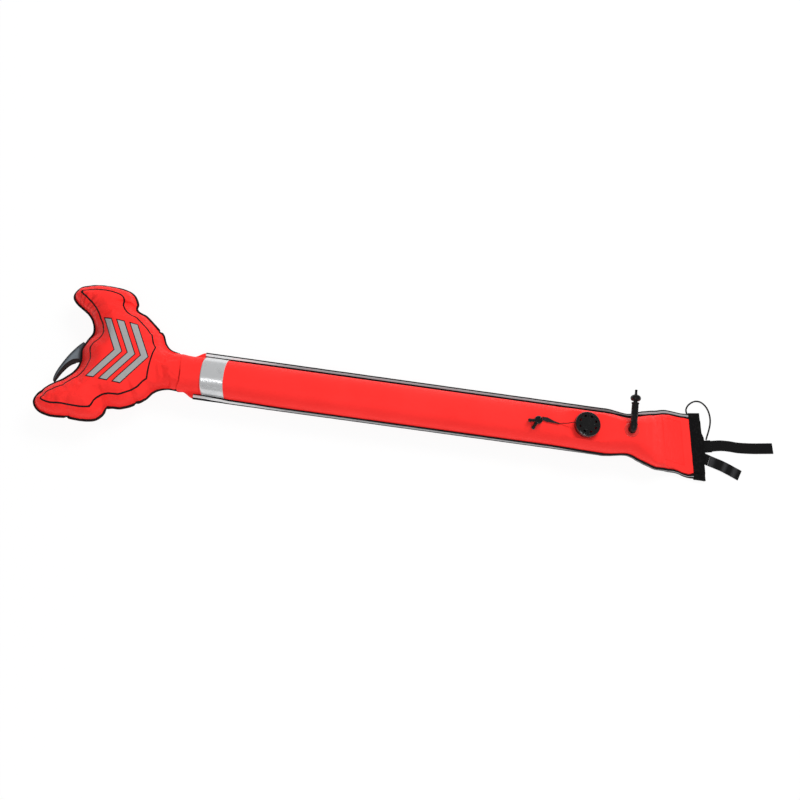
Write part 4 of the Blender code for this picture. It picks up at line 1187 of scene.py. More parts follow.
@dataclass(frozen=True)
class RowOf:
    """A row of small beads along lines: stitches, knurls or ribs.

    Each bead is a low round body, stretched to size, that lies along its line or along one direction.
    """

    pitch: float
    size: Triple
    finish: Finish
    direction: Triple | None = None
    jitter: float = 0.0
    seed: int = 4

    def tree(self) -> bpy.types.NodeTree:
        """Make the node tree, with the row's sizes as its named inputs.

        Returns:
            The tree.
        """
        tree = bpy.data.node_groups.new("row_of_beads", "GeometryNodeTree")
        kinds = {
            "Lines": "Geometry", "Pitch": "Float", "Size": "Vector", "Direction": "Vector",
            "Jitter": "Float", "Seed": "Int", "Finish": "Material",
        }
        for name, kind in kinds.items():
            tree.interface.new_socket(name, in_out="INPUT", socket_type=f"NodeSocket{kind}")
        tree.interface.new_socket("Beads", in_out="OUTPUT", socket_type="NodeSocketGeometry")
        given = tree.nodes.new("NodeGroupInput").outputs

        def node(kind: str, sockets: dict, output: int = 0, **settings: str) -> bpy.types.NodeSocket:
            """Add a node and read one of its outputs."""
            return add_node(tree, kind, sockets, **settings).outputs[output]

        curve = node("GeometryNodeMeshToCurve", {"Mesh": given["Lines"]})
        spaced = node("GeometryNodeResampleCurve", {"Curve": curve, "Length": given["Pitch"]}, mode="LENGTH")
        way = given["Direction"] if self.direction else node("GeometryNodeInputTangent", {})
        turn = node("FunctionNodeAlignRotationToVector", {"Vector": way}, axis="X")
        low, high = (
            node("ShaderNodeMath", {0: 1.0, 1: given["Jitter"]}, operation=operation)
            for operation in ("SUBTRACT", "ADD")
        )
        draw = {2: low, 3: high, "Seed": given["Seed"]}
        spread = node("FunctionNodeRandomValue", draw, 1, data_type="FLOAT")
        size = node("ShaderNodeVectorMath", {0: given["Size"], "Scale": spread}, operation="SCALE")
        bead = node("GeometryNodeMeshUVSphere", {"Segments": 6, "Rings": 4, "Radius": 0.5})
        smooth = node("GeometryNodeSetShadeSmooth", {"Geometry": bead})
        spots = {"Points": spaced, "Instance": smooth, "Rotation": turn, "Scale": size}
        beads = node("GeometryNodeInstanceOnPoints", spots)
        real = node("GeometryNodeRealizeInstances", {"Geometry": beads})
        dressed = node("GeometryNodeSetMaterial", {"Geometry": real, "Material": given["Finish"]})
        tree.links.new(dressed, tree.nodes.new("NodeGroupOutput").inputs[0])
        return tree

    def along(self, name: str, lines: list[Line]) -> Piece:
        """Lay the beads along lines.

        Args:
            name: the piece's name.
            lines: lines of points on the surface that the beads lie on.

        Returns:
            One mesh piece with every bead.
        """
        bm = bmesh.new()
        for line in lines:
            verts = [bm.verts.new(point) for point in line]
            for pair in zip(verts, verts[1:]):
                bm.edges.new(pair)
        guide = bpy.data.meshes.new(name + "_guide")
        bm.to_mesh(guide)
        bm.free()
        piece = bpy.data.objects.new(name, guide)
        bpy.context.scene.collection.objects.link(piece)
        modifier = piece.modifiers.new("row", "NODES")
        tree = self.tree()
        modifier.node_group = tree
        values = {
            "Pitch": self.pitch, "Size": self.size, "Direction": self.direction or (1.0, 0.0, 0.0),
            "Jitter": self.jitter, "Seed": self.seed, "Finish": self.finish,
        }
        for item in tree.interface.items_tree:
            if item.in_out == "INPUT" and item.name in values:
                modifier[item.identifier] = values[item.name]
        settled(piece)
        bpy.data.node_groups.remove(tree)
        return piece


# The bag


@dataclass
class BagShape:
    """The tube's sections from the neck to the mouth, as functions of the place along it."""

    start_x: float = -1067 * MM
    bulge: float = 39.5 * MM
    crown: float = 36.0 * MM
    flange: float = 12.2 * MM
    wall: float = 0.8 * MM
    binding_wall: float = 0.9 * MM
    belly_clearance: float = 0.8 * MM
    pinch_x: float = -160 * MM
    pinch_length: float = 55 * MM
    narrow_lead: float = 95 * MM
    narrow_length: float = 60 * MM
    mouth_x: float = 13 * MM
    mouth_reach: Pair = (76.3 * MM, 67.0 * MM)
    left_flare: Pairs = (
        (-7, 46.4), (1, 47.4), (14, 55.0), (28, 61.2), (43, 67.0), (54, 72.6), (67, 75.6), (88, 75.3)
    )
    right_flare: Pairs = (
        (-2, 45.0), (7, 47.5), (14, 52.2), (27, 58.3), (40, 62.7), (52, 62.0), (68, 60.9), (77, 62.1),
        (86, 65.6),
    )
    left_droop: Pairs = ((-215, 0), (-170, 18), (-150, 8), (-120, 0))
    right_droop: Pairs = (
        (-1060, 0), (-1000, 48), (-880, 60), (-330, 62), (-235, 74), (-160, 80), (-110, 72), (-60, 60),
        (-14, 0),
    )
    left_cover: Pairs = ((-80, 0.0), (-45, 1.5), (-24, 1.5), (-13, 0.0))
    right_cover: Pairs = ((-130, 0.0), (-80, 1.0), (-40, 4.8), (-24, 3.6), (-13, 0.0))
    view_lean: float = math.radians(17)
    lips_apart: float = 5.0 * MM
    band: float = 26 * MM
    valve: Pair = VALVE_AT
    valve_radius: float = 26.6 * MM
    valve_drop: float = 6.0 * MM
    inflator: Pair = (-164.8 * MM, 2.7 * MM)
    inflator_radius: float = 16 * MM
    inflator_drop: float = 4.0 * MM
    margin: float = 2 * MM
    run_in: float = 45 * MM
    inflator_run_in: float = 12 * MM
    shapes: Pairs = ((2.0, 0.0), (1.9, 0.708), (1.9, 0.5), (6.0, 0.867))
    pucker_wave: float = 9 * MM
    puckers: Pair = (0.30, 1.1)
    valve_draw: float = 0.35
    baffle_x: Pair = (71 * MM, 19 * MM)
    baffle_margin: float = 9 * MM
    baffle_lines: Pair = (1.3, 0.7)
    calm_length: float = 10 * MM

    @property
    def band_x(self) -> float:
        """Where the mouth's band starts."""
        return self.mouth_x - self.band

    @property
    def flange_z(self) -> float:
        """Outer face of a flange over the seam plane."""
        return GAP / 2 + self.wall

    @property
    def lip(self) -> float:
        """Seam plane to a lip's outer face."""
        return self.lips_apart / 2 + self.wall

    @property
    def seam_z(self) -> float:
        """The seam plane's height along the full tube."""
        return self.belly_clearance + self.crown

    @property
    def seats(self) -> tuple[float, ...]:
        """Where the crown starts to level, the valve's seat starts and ends, and the inflator's starts.

        Returns:
            The four places along the tube.
        """
        reach, valve = self.valve_radius + self.margin, self.valve[0]
        near = self.inflator[0] - self.inflator_radius - self.margin
        return valve - reach - self.run_in, valve - reach, valve + reach, near

    def edge(self, x: float, hand: Hand) -> float:
        """Distance from the centreline to a flange's edge, were the flange level.

        Args:
            x: the place along the tube.
            hand: which edge of the tube.

        Returns:
            The distance.
        """
        left = hand is Hand.LEFT
        flare = self.left_flare if left else self.right_flare
        length = self.band_x - self.pinch_x
        keys = [(self.pinch_x - self.pinch_length, self.bulge + self.flange)]
        keys += [(self.pinch_x + length * share / 100, out * MM) for share, out in flare]
        return flowing([*keys, (self.band_x, self.mouth_reach[0 if left else 1])], x)

    def half_width(self, x: float) -> float:
        """Half width over the level flanges."""
        return (self.edge(x, Hand.LEFT) + self.edge(x, Hand.RIGHT)) / 2

    def drift(self, x: float) -> float:
        """The centreline's place in Y."""
        return (self.edge(x, Hand.LEFT) - self.edge(x, Hand.RIGHT)) / 2

    def droop(self, x: float, hand: Hand) -> float:
        """How far a flange hangs down from level, held off the floor.

        Args:
            x: the place along the tube.
            hand: which edge of the tube.

        Returns:
            The angle.
        """
        keys = self.left_droop if hand is Hand.LEFT else self.right_droop
        turn = math.radians(along_keys([(place * MM, angle) for place, angle in keys], x))
        room = (self.seam_height(x) - 2.4 * MM) / (self.flange + 1.0 * MM)
        return min(turn, math.asin(min(max(room, 0.0), 1.0)))

    def bulge_reach(self, x: float, hand: Hand, side: Side = Side.UPPER) -> float:
        """Distance from the centreline to the bulge's edge, wider over a hanging flange.

        Args:
            x: the place along the tube.
            hand: which edge of the tube.
            side: which panel.

        Returns:
            The distance.
        """
        level = self.half_width(x) - self.flange
        if side is Side.LOWER:
            return level
        lean = self.view_lean * hand.value
        hidden = self.flange * max(0.0, 1 - math.cos(self.droop(x, hand) + lean) / math.cos(lean))
        return level + hidden + self.cover(x, hand)

    def cover(self, x: float, hand: Hand) -> float:
        """How far the cloth lies out over a flange."""
        keys = self.left_cover if hand is Hand.LEFT else self.right_cover
        return along_keys([(place * MM, out * MM) for place, out in keys], x)

    def flatness(self, x: float) -> float:
        """0 where the tube is full, 1 where its end lies flat."""
        return ease((x - self.pinch_x - 10 * MM) / (self.band_x - 20 * MM - self.pinch_x))

    def narrowing(self, x: float) -> float:
        """0 along the even tube, 1 from where it narrows towards the mouth."""
        return ease((x - self.pinch_x + self.narrow_lead) / self.narrow_length)

    def depth(self, x: float, side: Side) -> float:
        """Seam plane to the crown or the belly.

        Args:
            x: the place along the tube.
            side: which panel.

        Returns:
            The distance.
        """
        full = self.crown
        if side is Side.UPPER:
            before, start, end, near = self.seats
            keys = [(before, full), (start, full - self.valve_drop), (end, full - self.valve_drop)]
            keys += [(near - self.inflator_run_in, full - self.inflator_drop / 2)]
            full = along_keys([*keys, (near, full - self.inflator_drop)], x)
        return full + (self.lip - full) * self.flatness(x)

    def seam_height(self, x: float) -> float:
        """Height of the welded seam over the floor."""
        base = self.belly_clearance
        return base + (self.binding_wall + GAP - base) * self.flatness(x) + self.depth(x, Side.LOWER)

    def section(self, x: float, side: Side) -> Pair:
        """The section's exponent and the share of its width that is level.

        Args:
            x: the place along the tube.
            side: which panel.

        Returns:
            The exponent and the share.
        """
        round_shape, valve_shape, inflator_shape, mouth_shape = self.shapes
        full = list(round_shape)
        if side is Side.UPPER:
            keyed = (round_shape, valve_shape, valve_shape, inflator_shape)
            full = [along_keys([*zip(self.seats, values)], x) for values in zip(*keyed)]
        exponent, level = (value + (end - value) * self.flatness(x) for value, end in zip(full, mouth_shape))
        return exponent, level

    def rise(self, share: float, x: float, side: Side) -> float:
        """Height of the bulge, 0 to 1, at a share of its half width.

        Args:
            share: distance from the centreline over the half width.
            x: the place along the tube.
            side: which panel.

        Returns:
            The height.
        """
        exponent, level = self.section(x, side)
        height = (1 - min(abs(share), 1.0) ** exponent) ** (1 / exponent)
        cap = (1 - level**exponent) ** (1 / exponent)
        return min(height, cap) / cap

    def place(self, x: float, y: float, z: float) -> Vector:
        """A point of the tube, with the slant of its mouth."""
        lean = MOUTH_SLANT * ease((x - self.pinch_x) / (self.band_x - self.pinch_x))
        return Vector((x - lean * (y - self.drift(x)), y, z))

    def flange_spot(self, x: float, hand: Hand, out: float, up: float) -> Vector:
        """A point of a flange, counted out from its root and up from its middle plane.

        Args:
            x: the place along the tube.
            hand: which edge of the tube.
            out: distance from the flange's root.
            up: distance from its middle plane.

        Returns:
            The point.
        """
        turn, root = self.droop(x, hand), self.bulge_reach(x, hand)
        out *= 1 - self.cover(x, hand) / self.flange
        y = self.drift(x) + hand.value * (root + out * math.cos(turn) + up * math.sin(turn))
        return self.place(x, y, self.seam_height(x) - out * math.sin(turn) + up * math.cos(turn))

    def skin_height(self, x: float, y: float, side: Side = Side.UPPER) -> float:
        """Height of the panel's outer face.

        Args:
            x: the place along the tube.
            y: the place across.
            side: which panel.

        Returns:
            The height.
        """
        out = y - self.drift(x)
        share = out / self.bulge_reach(x, Hand.LEFT if out > 0 else Hand.RIGHT, side)
        rise = self.rise(share, x, side) * (self.depth(x, side) - self.flange_z) if abs(share) < 1 else 0.0
        return self.seam_height(x) + side.value * (self.flange_z + rise)

    def crease(self, x: float, y: float, share: float, side: Side) -> float:
        """How far the cloth is drawn out or in at a point: puckers, folds and the baffle's imprint.

        Args:
            x: the place along the tube.
            y: the place across.
            share: y over the half width.
            side: which panel.

        Returns:
            The distance, outwards above 0.
        """
        row = side.value * 3.0
        edge = math.exp(-(1 - abs(share)) / 0.16)
        size = self.puckers[0] + self.puckers[1] * self.narrowing(x)
        puckers = ripple(x, self.pucker_wave, row + math.copysign(5.0, share)) * size * edge
        swell = 0.35 * noise.noise(Vector((x / 0.12, y / 0.05, row)))
        near_valve = math.hypot(x - self.valve[0], y - self.valve[1]) / self.valve_radius
        pull = math.exp(-(((near_valve - 1.45) / 0.3) ** 2)) * self.valve_draw
        turn = math.atan2(y - self.valve[1], x - self.valve[0])
        draws = pull * noise.noise(Vector((math.cos(turn) * 3, math.sin(turn) * 3, 8.1)))
        flat = self.flatness(x)
        folds = 0.0
        if flat > 0.02:
            across = (y - self.drift(x)) / MM
            bend = x / MM + 0.0016 * across**2
            arch = math.sin(math.pi * flat)
            folds = 2.4 * noise.noise(Vector((bend / 11, across / 55, row + 2.0))) * arch**0.5
            folds += 1.5 * noise.noise(Vector((bend / 40, across / 9, row + 6.0))) * arch**2
            low_x, high_x = (self.band_x - back for back in self.baffle_x)
            half = self.half_width(x) - self.flange - self.baffle_margin
            box = max((low_x - x) / MM, (x - high_x) / MM, (abs(y - self.drift(x)) - half) / MM)
            outer, inner = self.baffle_lines
            folds += outer * math.exp(-((box / 1.4) ** 2)) + inner * math.exp(-(((box + 7) / 1.4) ** 2))
        calm = 1 - ease((x - self.band_x + self.calm_length) / self.calm_length)
        seat = min(ease((near_valve - 1.0) / 0.25), 1.0)
        port = math.hypot(x - self.inflator[0], y - self.inflator[1]) / self.inflator_radius
        return (puckers + (swell + draws + folds) * seat * ease((port - 0.9) / 0.3)) * calm * MM

    def skin_row(self, x: float, side: Side, outwards: float = 0.0, reach: float | None = None) -> Line:
        """A row of points across one panel.

        Args:
            x: the place along the tube.
            side: which panel.
            outwards: how far off the panel's outer face.
            reach: distance from the flanges' edges where the row ends; without one it ends at the bulge.

        Returns:
            The row's points in rising Y.
        """
        row = [self.skin_spot(x, share, side, outwards) for share in SHARES]
        if reach is not None:
            for share in (0.12, 0.45, 1.0):
                out, up = (self.flange - reach) * share, side.value * (self.flange_z + outwards)
                low, high = (self.flange_spot(x, hand, out, up) for hand in (Hand.RIGHT, Hand.LEFT))
                row = [low, *row, high]
        return row

    def skin_spot(self, x: float, share: float, side: Side, outwards: float) -> Vector:
        """A point of a panel's bulge at a share of its half width, this far off its outer face.

        Args:
            x: the place along the tube.
            share: distance from the centreline over the half width.
            side: which panel.
            outwards: distance from the outer face.

        Returns:
            The point.
        """
        hand = Hand.LEFT if share > 0 else Hand.RIGHT
        y = self.drift(x) + (self.bulge_reach(x, hand, side) + outwards) * share
        lift = self.crease(x, y, share, side) if 0.0 < abs(share) < 1.0 else 0.0
        rise = self.rise(share, x, side) * (self.depth(x, side) - self.flange_z)
        z = self.seam_height(x) + side.value * (self.flange_z + rise + outwards + lift)
        return self.place(x, y, max(z, 0.03 * MM))


@dataclass
class Bag:
    """The inflated tube: its two panels, seams, tape, collar and the band round its mouth."""

    finishes: Finishes
    shape: BagShape = field(default_factory=BagShape)
    step: float = 3.0 * MM
    binding_width: float = 11 * MM
    piping_inset: float = 3.0 * MM
    piping_width: float = 4.8 * MM
    binding_lead: float = 11 * MM
    left_piping: Pairs = (
        (-1060, 1.1), (-960, 0.9), (-200, 0.85), (-170, 0.4), (-152, 0.4), (-130, 0.95)
    )
    right_piping: Pairs = (
        (-1070, 1.15), (-1000, 1.0), (-330, 0.8), (-235, 0.34), (-90, 0.3), (-60, 0.6), (-20, 0.4)
    )
    piping_wall: float = 0.35 * MM
    tape_inset: float = 1.9 * MM
    tape_width: float = 50 * MM
    tape_wall: float = 0.35 * MM
    tape_bows: Pairs = ((4.6, -1.6), (4.0, -4.6))
    collar_end: Pairs = (
        (-1.0, -1113.0), (-0.56, -1107.6), (-0.3, -1107.4), (0.47, -1111.0), (0.85, -1113.5)
    )
    ear_length: float = 24 * MM
    bend_end_x: float = -1104 * MM
    lip_overhang: float = 1.8 * MM
    lip_skew: float = 0.137
    lip_bulge: float = 4.2 * MM
    lip_bulge_y: Pair = (-34 * MM, 38 * MM)
    lip_bulge_run: float = 14 * MM
    stray: Pair = (0.16, 0.45)

    def panels(self) -> list[Piece]:
        """The upper and the lower panel.

        Returns:
            Both panels.
        """
        shape = self.shape
        line = stations(shape.start_x, shape.mouth_x - shape.binding_wall - GAP, self.step)
        made = []
        for side in Side:
            rows = [shape.skin_row(x, side, 0.0, shape.binding_wall + GAP) for x in line]
            panel = sheet_piece(f"tube_skin_{side.word}", rows, side, shape.wall, self.finishes.nylon)
            made.append(placed(panel, "buoy", "red_fabric", f"tube_{side.word}_panel"))
        return made

    def waver(self, x: float, hand: Hand) -> Pair:
        """How far the sewn binding strays sideways and up at a place.

        Args:
            x: the place along the tube.
            hand: which edge of the tube.

        Returns:
            The two distances.
        """
        amount = (self.stray[0] + self.stray[1] * self.shape.narrowing(x)) * MM
        aside = ripple(x, 17 * MM, hand.value * 2.0) * amount
        return aside, ripple(x, 13 * MM, hand.value * 4.0) * amount * 1.4

    def bindings(self) -> list[Piece]:
        """The folded tape on each seam, its reflective piping and its stitches.

        Returns:
            The pieces.
        """
        shape = self.shape
        low = shape.flange_z + GAP
        high = low + shape.binding_wall
        made = []
        for hand in Hand:
            width = self.binding_width
            outer = [(-width, low), (-width, high), (0.0, high), (0.0, -high), (-width, -high)]
            inner = [(-width, -low), (-shape.binding_wall, -low), (-shape.binding_wall, low)]
            fold = rounded([*outer, *inner], 0.5 * MM)
            loops = []
            strips, rails = {side: [] for side in Side}, {side: ([], []) for side in Side}
            start = shape.start_x - (self.binding_lead if hand is Hand.RIGHT else 0.0)
            widths = self.left_piping if hand is Hand.LEFT else self.right_piping
            for x in stations(start, shape.band_x - GAP, self.step):
                aside, lift = self.waver(x, hand)
                share = along_keys([(place * MM, value) for place, value in widths], x)

                def spot(y: float, z: float) -> Vector:
                    """A point of the seam, counted from its outer edge and its plane."""
                    return shape.flange_spot(x, hand, shape.flange + aside + y, lift + z)

                loops.append([spot(y, z) for y, z in fold])
                for side in Side:
                    bottom, top = high + 0.05 * MM, high + GAP + self.piping_wall
                    near, far = -self.piping_inset - self.piping_width * share, -self.piping_inset
                    strip = rounded([(near, bottom), (far, bottom), (far, top), (near, top)], 0.25 * MM)
                    strips[side].append([spot(y, side.value * z) for y, z in strip])
                    for rail, y in zip(rails[side], (-width + 1.1 * MM, -1.3 * MM)):
                        rail.append(spot(y, side.value * high))
            tag = hand.name.lower()
            binding = sectioned_piece(f"seam_tape_{tag}", loops, self.finishes.binding)
            made.append(placed(binding, "buoy", "black_fabric", f"seam_binding_{tag}"))
            for side in Side:
                piping = sectioned_piece(f"piping_{tag}_{side.word}", strips[side], self.finishes.piping)
                made.append(placed(piping, "buoy", "reflective", f"reflective_piping_{tag}_{side.word}"))
            stitch = RowOf(3.6 * MM, (2.7 * MM, 0.42 * MM, 0.34 * MM), self.finishes.thread, jitter=0.08)
            lines = [rail for side in Side for rail in rails[side]]
            made.append(placed(stitch.along(f"seam_stitches_{tag}", lines), "buoy", "black_fabric"))
        return made

    def tape(self) -> list[Piece]:
        """The reflective tape round the head end.

        Returns:
            Both patches.
        """
        shape, made = self.shape, []
        start, lift = self.shape.start_x + self.tape_inset, GAP + self.tape_wall
        for side in Side:
            rows = []
            for t in stations(0.0, 1.0, 0.05):

                def spot(share: float) -> float:
                    """The place along the tube, between the tape's bowed edges."""
                    low, high = ((bow * abs(share) ** 3 + shift) * MM for bow, shift in self.tape_bows)
                    return start + low + (self.tape_width + high - low) * t

                row = [shape.skin_spot(spot(share), share, side, lift) for share in SHARES]
                out = shape.flange - self.binding_width - 0.1 * MM
                low, high = (
                    shape.flange_spot(spot(1.0), hand, out, side.value * (shape.flange_z + lift))
                    for hand in (Hand.RIGHT, Hand.LEFT)
                )
                rows.append([low, *row, high])
            patch = sheet_piece(f"tape_{side.word}", rows, side, self.tape_wall, self.finishes.film)
            made.append(placed(patch, "buoy", "reflective", f"reflective_tape_{side.word}"))
        return made

    def collar(self) -> Piece:
        """The plain sleeve at the neck, with the tube's flanges running out in it.

        Returns:
            The sleeve.
        """
        shape = self.shape
        joint = shape.start_x - GAP
        rows = []
        for share in stations(0.0, 1.0, 0.036):
            ring = []
            for side in Side:
                row = []
                for across in SHARES:
                    rise = math.sqrt(max(0.0, 1 - across**2))
                    end = along_keys([(place, x * MM) for place, x in self.collar_end], across)
                    x = joint + (end - joint) * share
                    fold = self.collar_fold(share, math.atan2(side.value * rise, across))
                    z = shape.seam_z + side.value * rise * (shape.crown - 0.2 * MM + fold)
                    row.append(Vector((x, across * (shape.bulge + fold), z)))
                ears = []
                for hand, out in ((Hand.RIGHT, 1.0), (Hand.RIGHT, 0.5), (Hand.LEFT, 0.5), (Hand.LEFT, 1.0)):
                    end = self.collar_end[-1 if hand is Hand.LEFT else 0][1] * MM
                    x = joint + (end - joint) * share
                    ear = self.ear(x, hand)
                    y = hand.value * (shape.bulge + (shape.flange - 1.4 * MM) * ear * out)
                    ears.append(Vector((x, y, shape.seam_z + side.value * shape.flange_z * ear)))
                row = [*ears[:2], *row[1:-1], *ears[2:]]
                ring.extend(row if side is Side.UPPER else reversed(row))
            rows.append(ring)
        piece = close_up("neck_sleeve", skin_bmesh(rows, wrap=True), self.finishes.nylon)
        if sum(face.normal.z * face.center.z * face.area for face in piece.data.polygons) < 0:
            piece.data.flip_normals()
        modifier = piece.modifiers.new("wall", "SOLIDIFY")
        modifier.thickness = shape.wall
        modifier.offset = -1
        settled(piece)
        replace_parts(piece, "neck_collar")
        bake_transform(piece)
        return piece

    def ear(self, x: float, hand: Hand) -> float:
        """How much of a flange is left in the collar at a place.

        Args:
            x: the place along the tube.
            hand: which edge of the tube.

        Returns:
            The share, from 0 to 1.
        """
        lead = self.binding_lead if hand is Hand.RIGHT else 0.0
        left = 1 - ease((self.shape.start_x - GAP - lead - x) / self.ear_length)
        return left if left > 0.01 else 0.0

    @staticmethod
    def collar_fold(share: float, angle: float) -> float:
        """How far the collar's cloth folds out or in at a share of its length and an angle round it.

        Args:
            share: the place along its length, from 0 to 1.
            angle: the angle round it.

        Returns:
            The distance.
        """
        c, s = math.cos(angle), math.sin(angle)
        gathers = noise.noise(Vector((c * 5, s * 5, share * 0.8))) * 0.6 * ease((share - 0.35) / 0.65)
        waist = -1.3 * math.sin(math.pi * min(share / 0.9, 1.0))
        hem = 0.35 * math.exp(-(((share - 0.97) / 0.02) ** 2))
        return (gathers + waist + hem + 0.15 * ease((share - 0.80) / 0.1)) * MM

    def lips(self) -> list[Piece]:
        """The black band folded over each lip of the mouth, with two rows of stitches.

        Returns:
            The pieces.
        """
        shape, made = self.shape, []
        wall = shape.binding_wall
        for side in Side:
            loops, rails = [], ([], [])
            outer = shape.skin_row(0.0, side, GAP + wall, -self.lip_overhang)
            for point in outer:
                y = point.y
                share = (y - shape.drift(shape.mouth_x)) / (shape.half_width(shape.mouth_x) - shape.flange)
                skin = shape.skin_height(shape.mouth_x, y, side)
                fold = min(shape.wall + GAP, abs(skin - shape.seam_height(shape.mouth_x)) - GAP / 2)
                way = side.value
                turn_z = skin - way * (fold if abs(share) >= 1 else shape.wall)
                stray = ripple(y, 14 * MM, way * 7.0) * 0.35 * MM
                bulge, (low_y, high_y), run = 0.0, self.lip_bulge_y, self.lip_bulge_run
                if side is Side.UPPER:
                    bulge = self.lip_bulge * ease((y - low_y) / run) * ease((high_y - y) / run)
                start, end = shape.band_x + stray, shape.mouth_x + bulge + stray * 0.5
                near, face = skin + way * GAP, skin + way * (GAP + wall)
                corners = [(start, near), (start, face), (end, face), (end, turn_z)]
                section = rounded([*corners, (end - wall, turn_z), (end - wall, near)], 0.4 * MM)
                skew = self.lip_skew * ease((share - 1.0) / 0.1)
                loops.append([shape.place(x, y + skew * (x - start), z) for x, z in section])
                rail_z = max(face, 0.22 * MM)
                for rail, x in zip(rails, (start + 2.2 * MM, shape.mouth_x - 3.4 * MM)):
                    rail.append(shape.place(x, y, rail_z))
            band = sectioned_piece(f"lip_band_{side.word}", loops, self.finishes.binding)
            made.append(placed(band, "buoy", "black_fabric", f"mouth_band_{side.word}"))
            stitch = RowOf(3.4 * MM, (2.6 * MM, 0.45 * MM, 0.36 * MM), self.finishes.thread, jitter=0.08)
            stitches = stitch.along(f"lip_stitches_{side.word}", list(rails))
            made.append(placed(stitches, "buoy", "black_fabric"))
        return made

    def build(self) -> list[Piece]:
        """Make every piece of the bag."""
        return [*self.panels(), *self.bindings(), *self.tape(), self.collar(), *self.lips()]


# The head


@dataclass(frozen=True)
class NetPoint:
    """A point of a pillow's net: its spot from above, its distance to the seam, and the place along it."""

    spot: Vector
    gap: float
    place: float


@dataclass(frozen=True)
class Outline:
    """A level line of points, open or closed on itself."""

    points: Line
    closed: bool = False

    def nearest(self, spots: Line) -> tuple[np.ndarray, np.ndarray]:
        """Distance to the outline, and the place along it, of each spot.

        Args:
            spots: the spots, whose heights don't count.

        Returns:
            The distances and the places.
        """
        line = level_rows([*self.points, self.points[0]] if self.closed else self.points)
        start, stretch = line[:-1], line[1:] - line[:-1]
        lengths = np.linalg.norm(stretch, axis=1)
        walked = np.concatenate([[0.0], np.cumsum(lengths)[:-1]])
        offset = level_rows(spots)[:, None, :] - start[None, :, :]
        share = np.clip((offset * stretch).sum(2) / (lengths**2), 0, 1)
        gap = np.linalg.norm(offset - share[:, :, None] * stretch, axis=2)
        best = gap.argmin(1)
        pick = np.arange(len(spots))
        return gap[pick, best], walked[best] + share[pick, best] * lengths[best]

    def inset(self, distance: float) -> Line:
        """The outline moved inwards, to the left of its run."""
        line = self.points
        return [point + leftwards(line, k, self.closed) * distance for k, point in enumerate(line)]


@dataclass
class Pillow:
    """Two sheets joined round an outline, with the seam's puckers.

    The mesh keeps each point's distance to the seam as the attribute seam_distance.
    """

    name: str
    outline: Outline
    seam_z: float
    grid: float
    rings: tuple[float, ...]
    finish: Finish

    def net(self, neck: Line) -> tuple[Line, list[list[int]], int]:
        """The flat net of triangles inside the outline.

        Args:
            neck: points that close an open outline.

        Returns:
            The net's points, its triangles, and how many points its border has.
        """
        border = [*self.outline.points, *neck]
        spots = list(border)
        for ring in self.rings:
            line = self.outline.inset(ring)
            trim = 0 if self.outline.closed else max(3, round(ring / (3 * MM)) + 3)
            line = line[trim : len(line) - trim][:: 1 if ring < 10 * MM else 2]
            gaps, _ = self.outline.nearest(line)
            spots.extend(p for p, gap in zip(line, gaps) if gap > ring * 0.93)
        low_x, high_x = min(p.x for p in border), max(p.x for p in border)
        low_y, high_y = min(p.y for p in border), max(p.y for p in border)
        filling = []
        for column, x in enumerate(stations(low_x, high_x, self.grid * 0.866)):
            for y in stations(low_y, high_y, self.grid):
                filling.append(Vector((x, y + (self.grid / 2 if column % 2 else 0.0))))
        gaps, _ = self.outline.nearest(filling)
        deepest = max(self.rings) + self.grid * 0.6
        limit = high_x - self.grid * 0.5 if neck else high_x + 1.0
        spots.extend(p for p, gap in zip(filling, gaps) if gap > deepest and p.x < limit)
        edges = [(k, (k + 1) % len(border)) for k in range(len(border))]
        flat, _, faces, *_ = delaunay_2d_cdt(spots, edges, [], 1, 1e-6)
        return flat, faces, len(border)

    def build(
        self, depth: Callable[[NetPoint, int], float], wave: Stray, notch: Stray, neck: Line = ()
    ) -> Piece:
        """Raise the net into a closed pillow.

        Args:
            depth: height of a face over the seam plane, from a point and the side.
            wave: how far the seam strays up or down at a place along it.
            notch: how far the seam is drawn inwards at a place along it.
            neck: points that close an open outline.

        Returns:
            The pillow.
        """
        flat, faces, border = self.net(list(neck))
        gaps, places = self.outline.nearest(flat)
        bm = bmesh.new()
        far = bm.verts.layers.float.new("seam_distance")
        centre = level_rows(flat).mean(axis=0)
        sheets = {}
        for side in (1, -1):
            verts = []
            for (x, y), gap, place in zip(flat, gaps, places):
                draw = notch(place) * max(0.0, 1 - gap / (9 * MM))
                inwards = Vector((centre[0] - x, centre[1] - y)).normalized() * draw
                sway = wave(place) * (1 - ease(gap / (18 * MM)))
                z = self.seam_z + sway + side * depth(NetPoint(Vector((x, y)), gap, place), side)
                vert = bm.verts.new((x + inwards.x, y + inwards.y, z))
                vert[far] = gap
                verts.append(vert)
            sheets[side] = verts
            for face in faces:
                bm.faces.new([verts[k] for k in (face if side > 0 else reversed(face))])
        for k in range(border):
            n = (k + 1) % border
            if sheets[1][k].link_faces and sheets[1][n].link_faces:
                bm.faces.new((sheets[1][n], sheets[1][k], sheets[-1][k], sheets[-1][n]))
        layer = bm.loops.layers.uv.new("UVMap")
        for loop in (loop for face in bm.faces for loop in face.loops):
            loop[layer].uv = loop.vert.co.xy
        bmesh.ops.delete(bm, geom=[v for v in bm.verts if not v.link_faces], context="VERTS")
        return close_up(self.name, bm, self.finish)


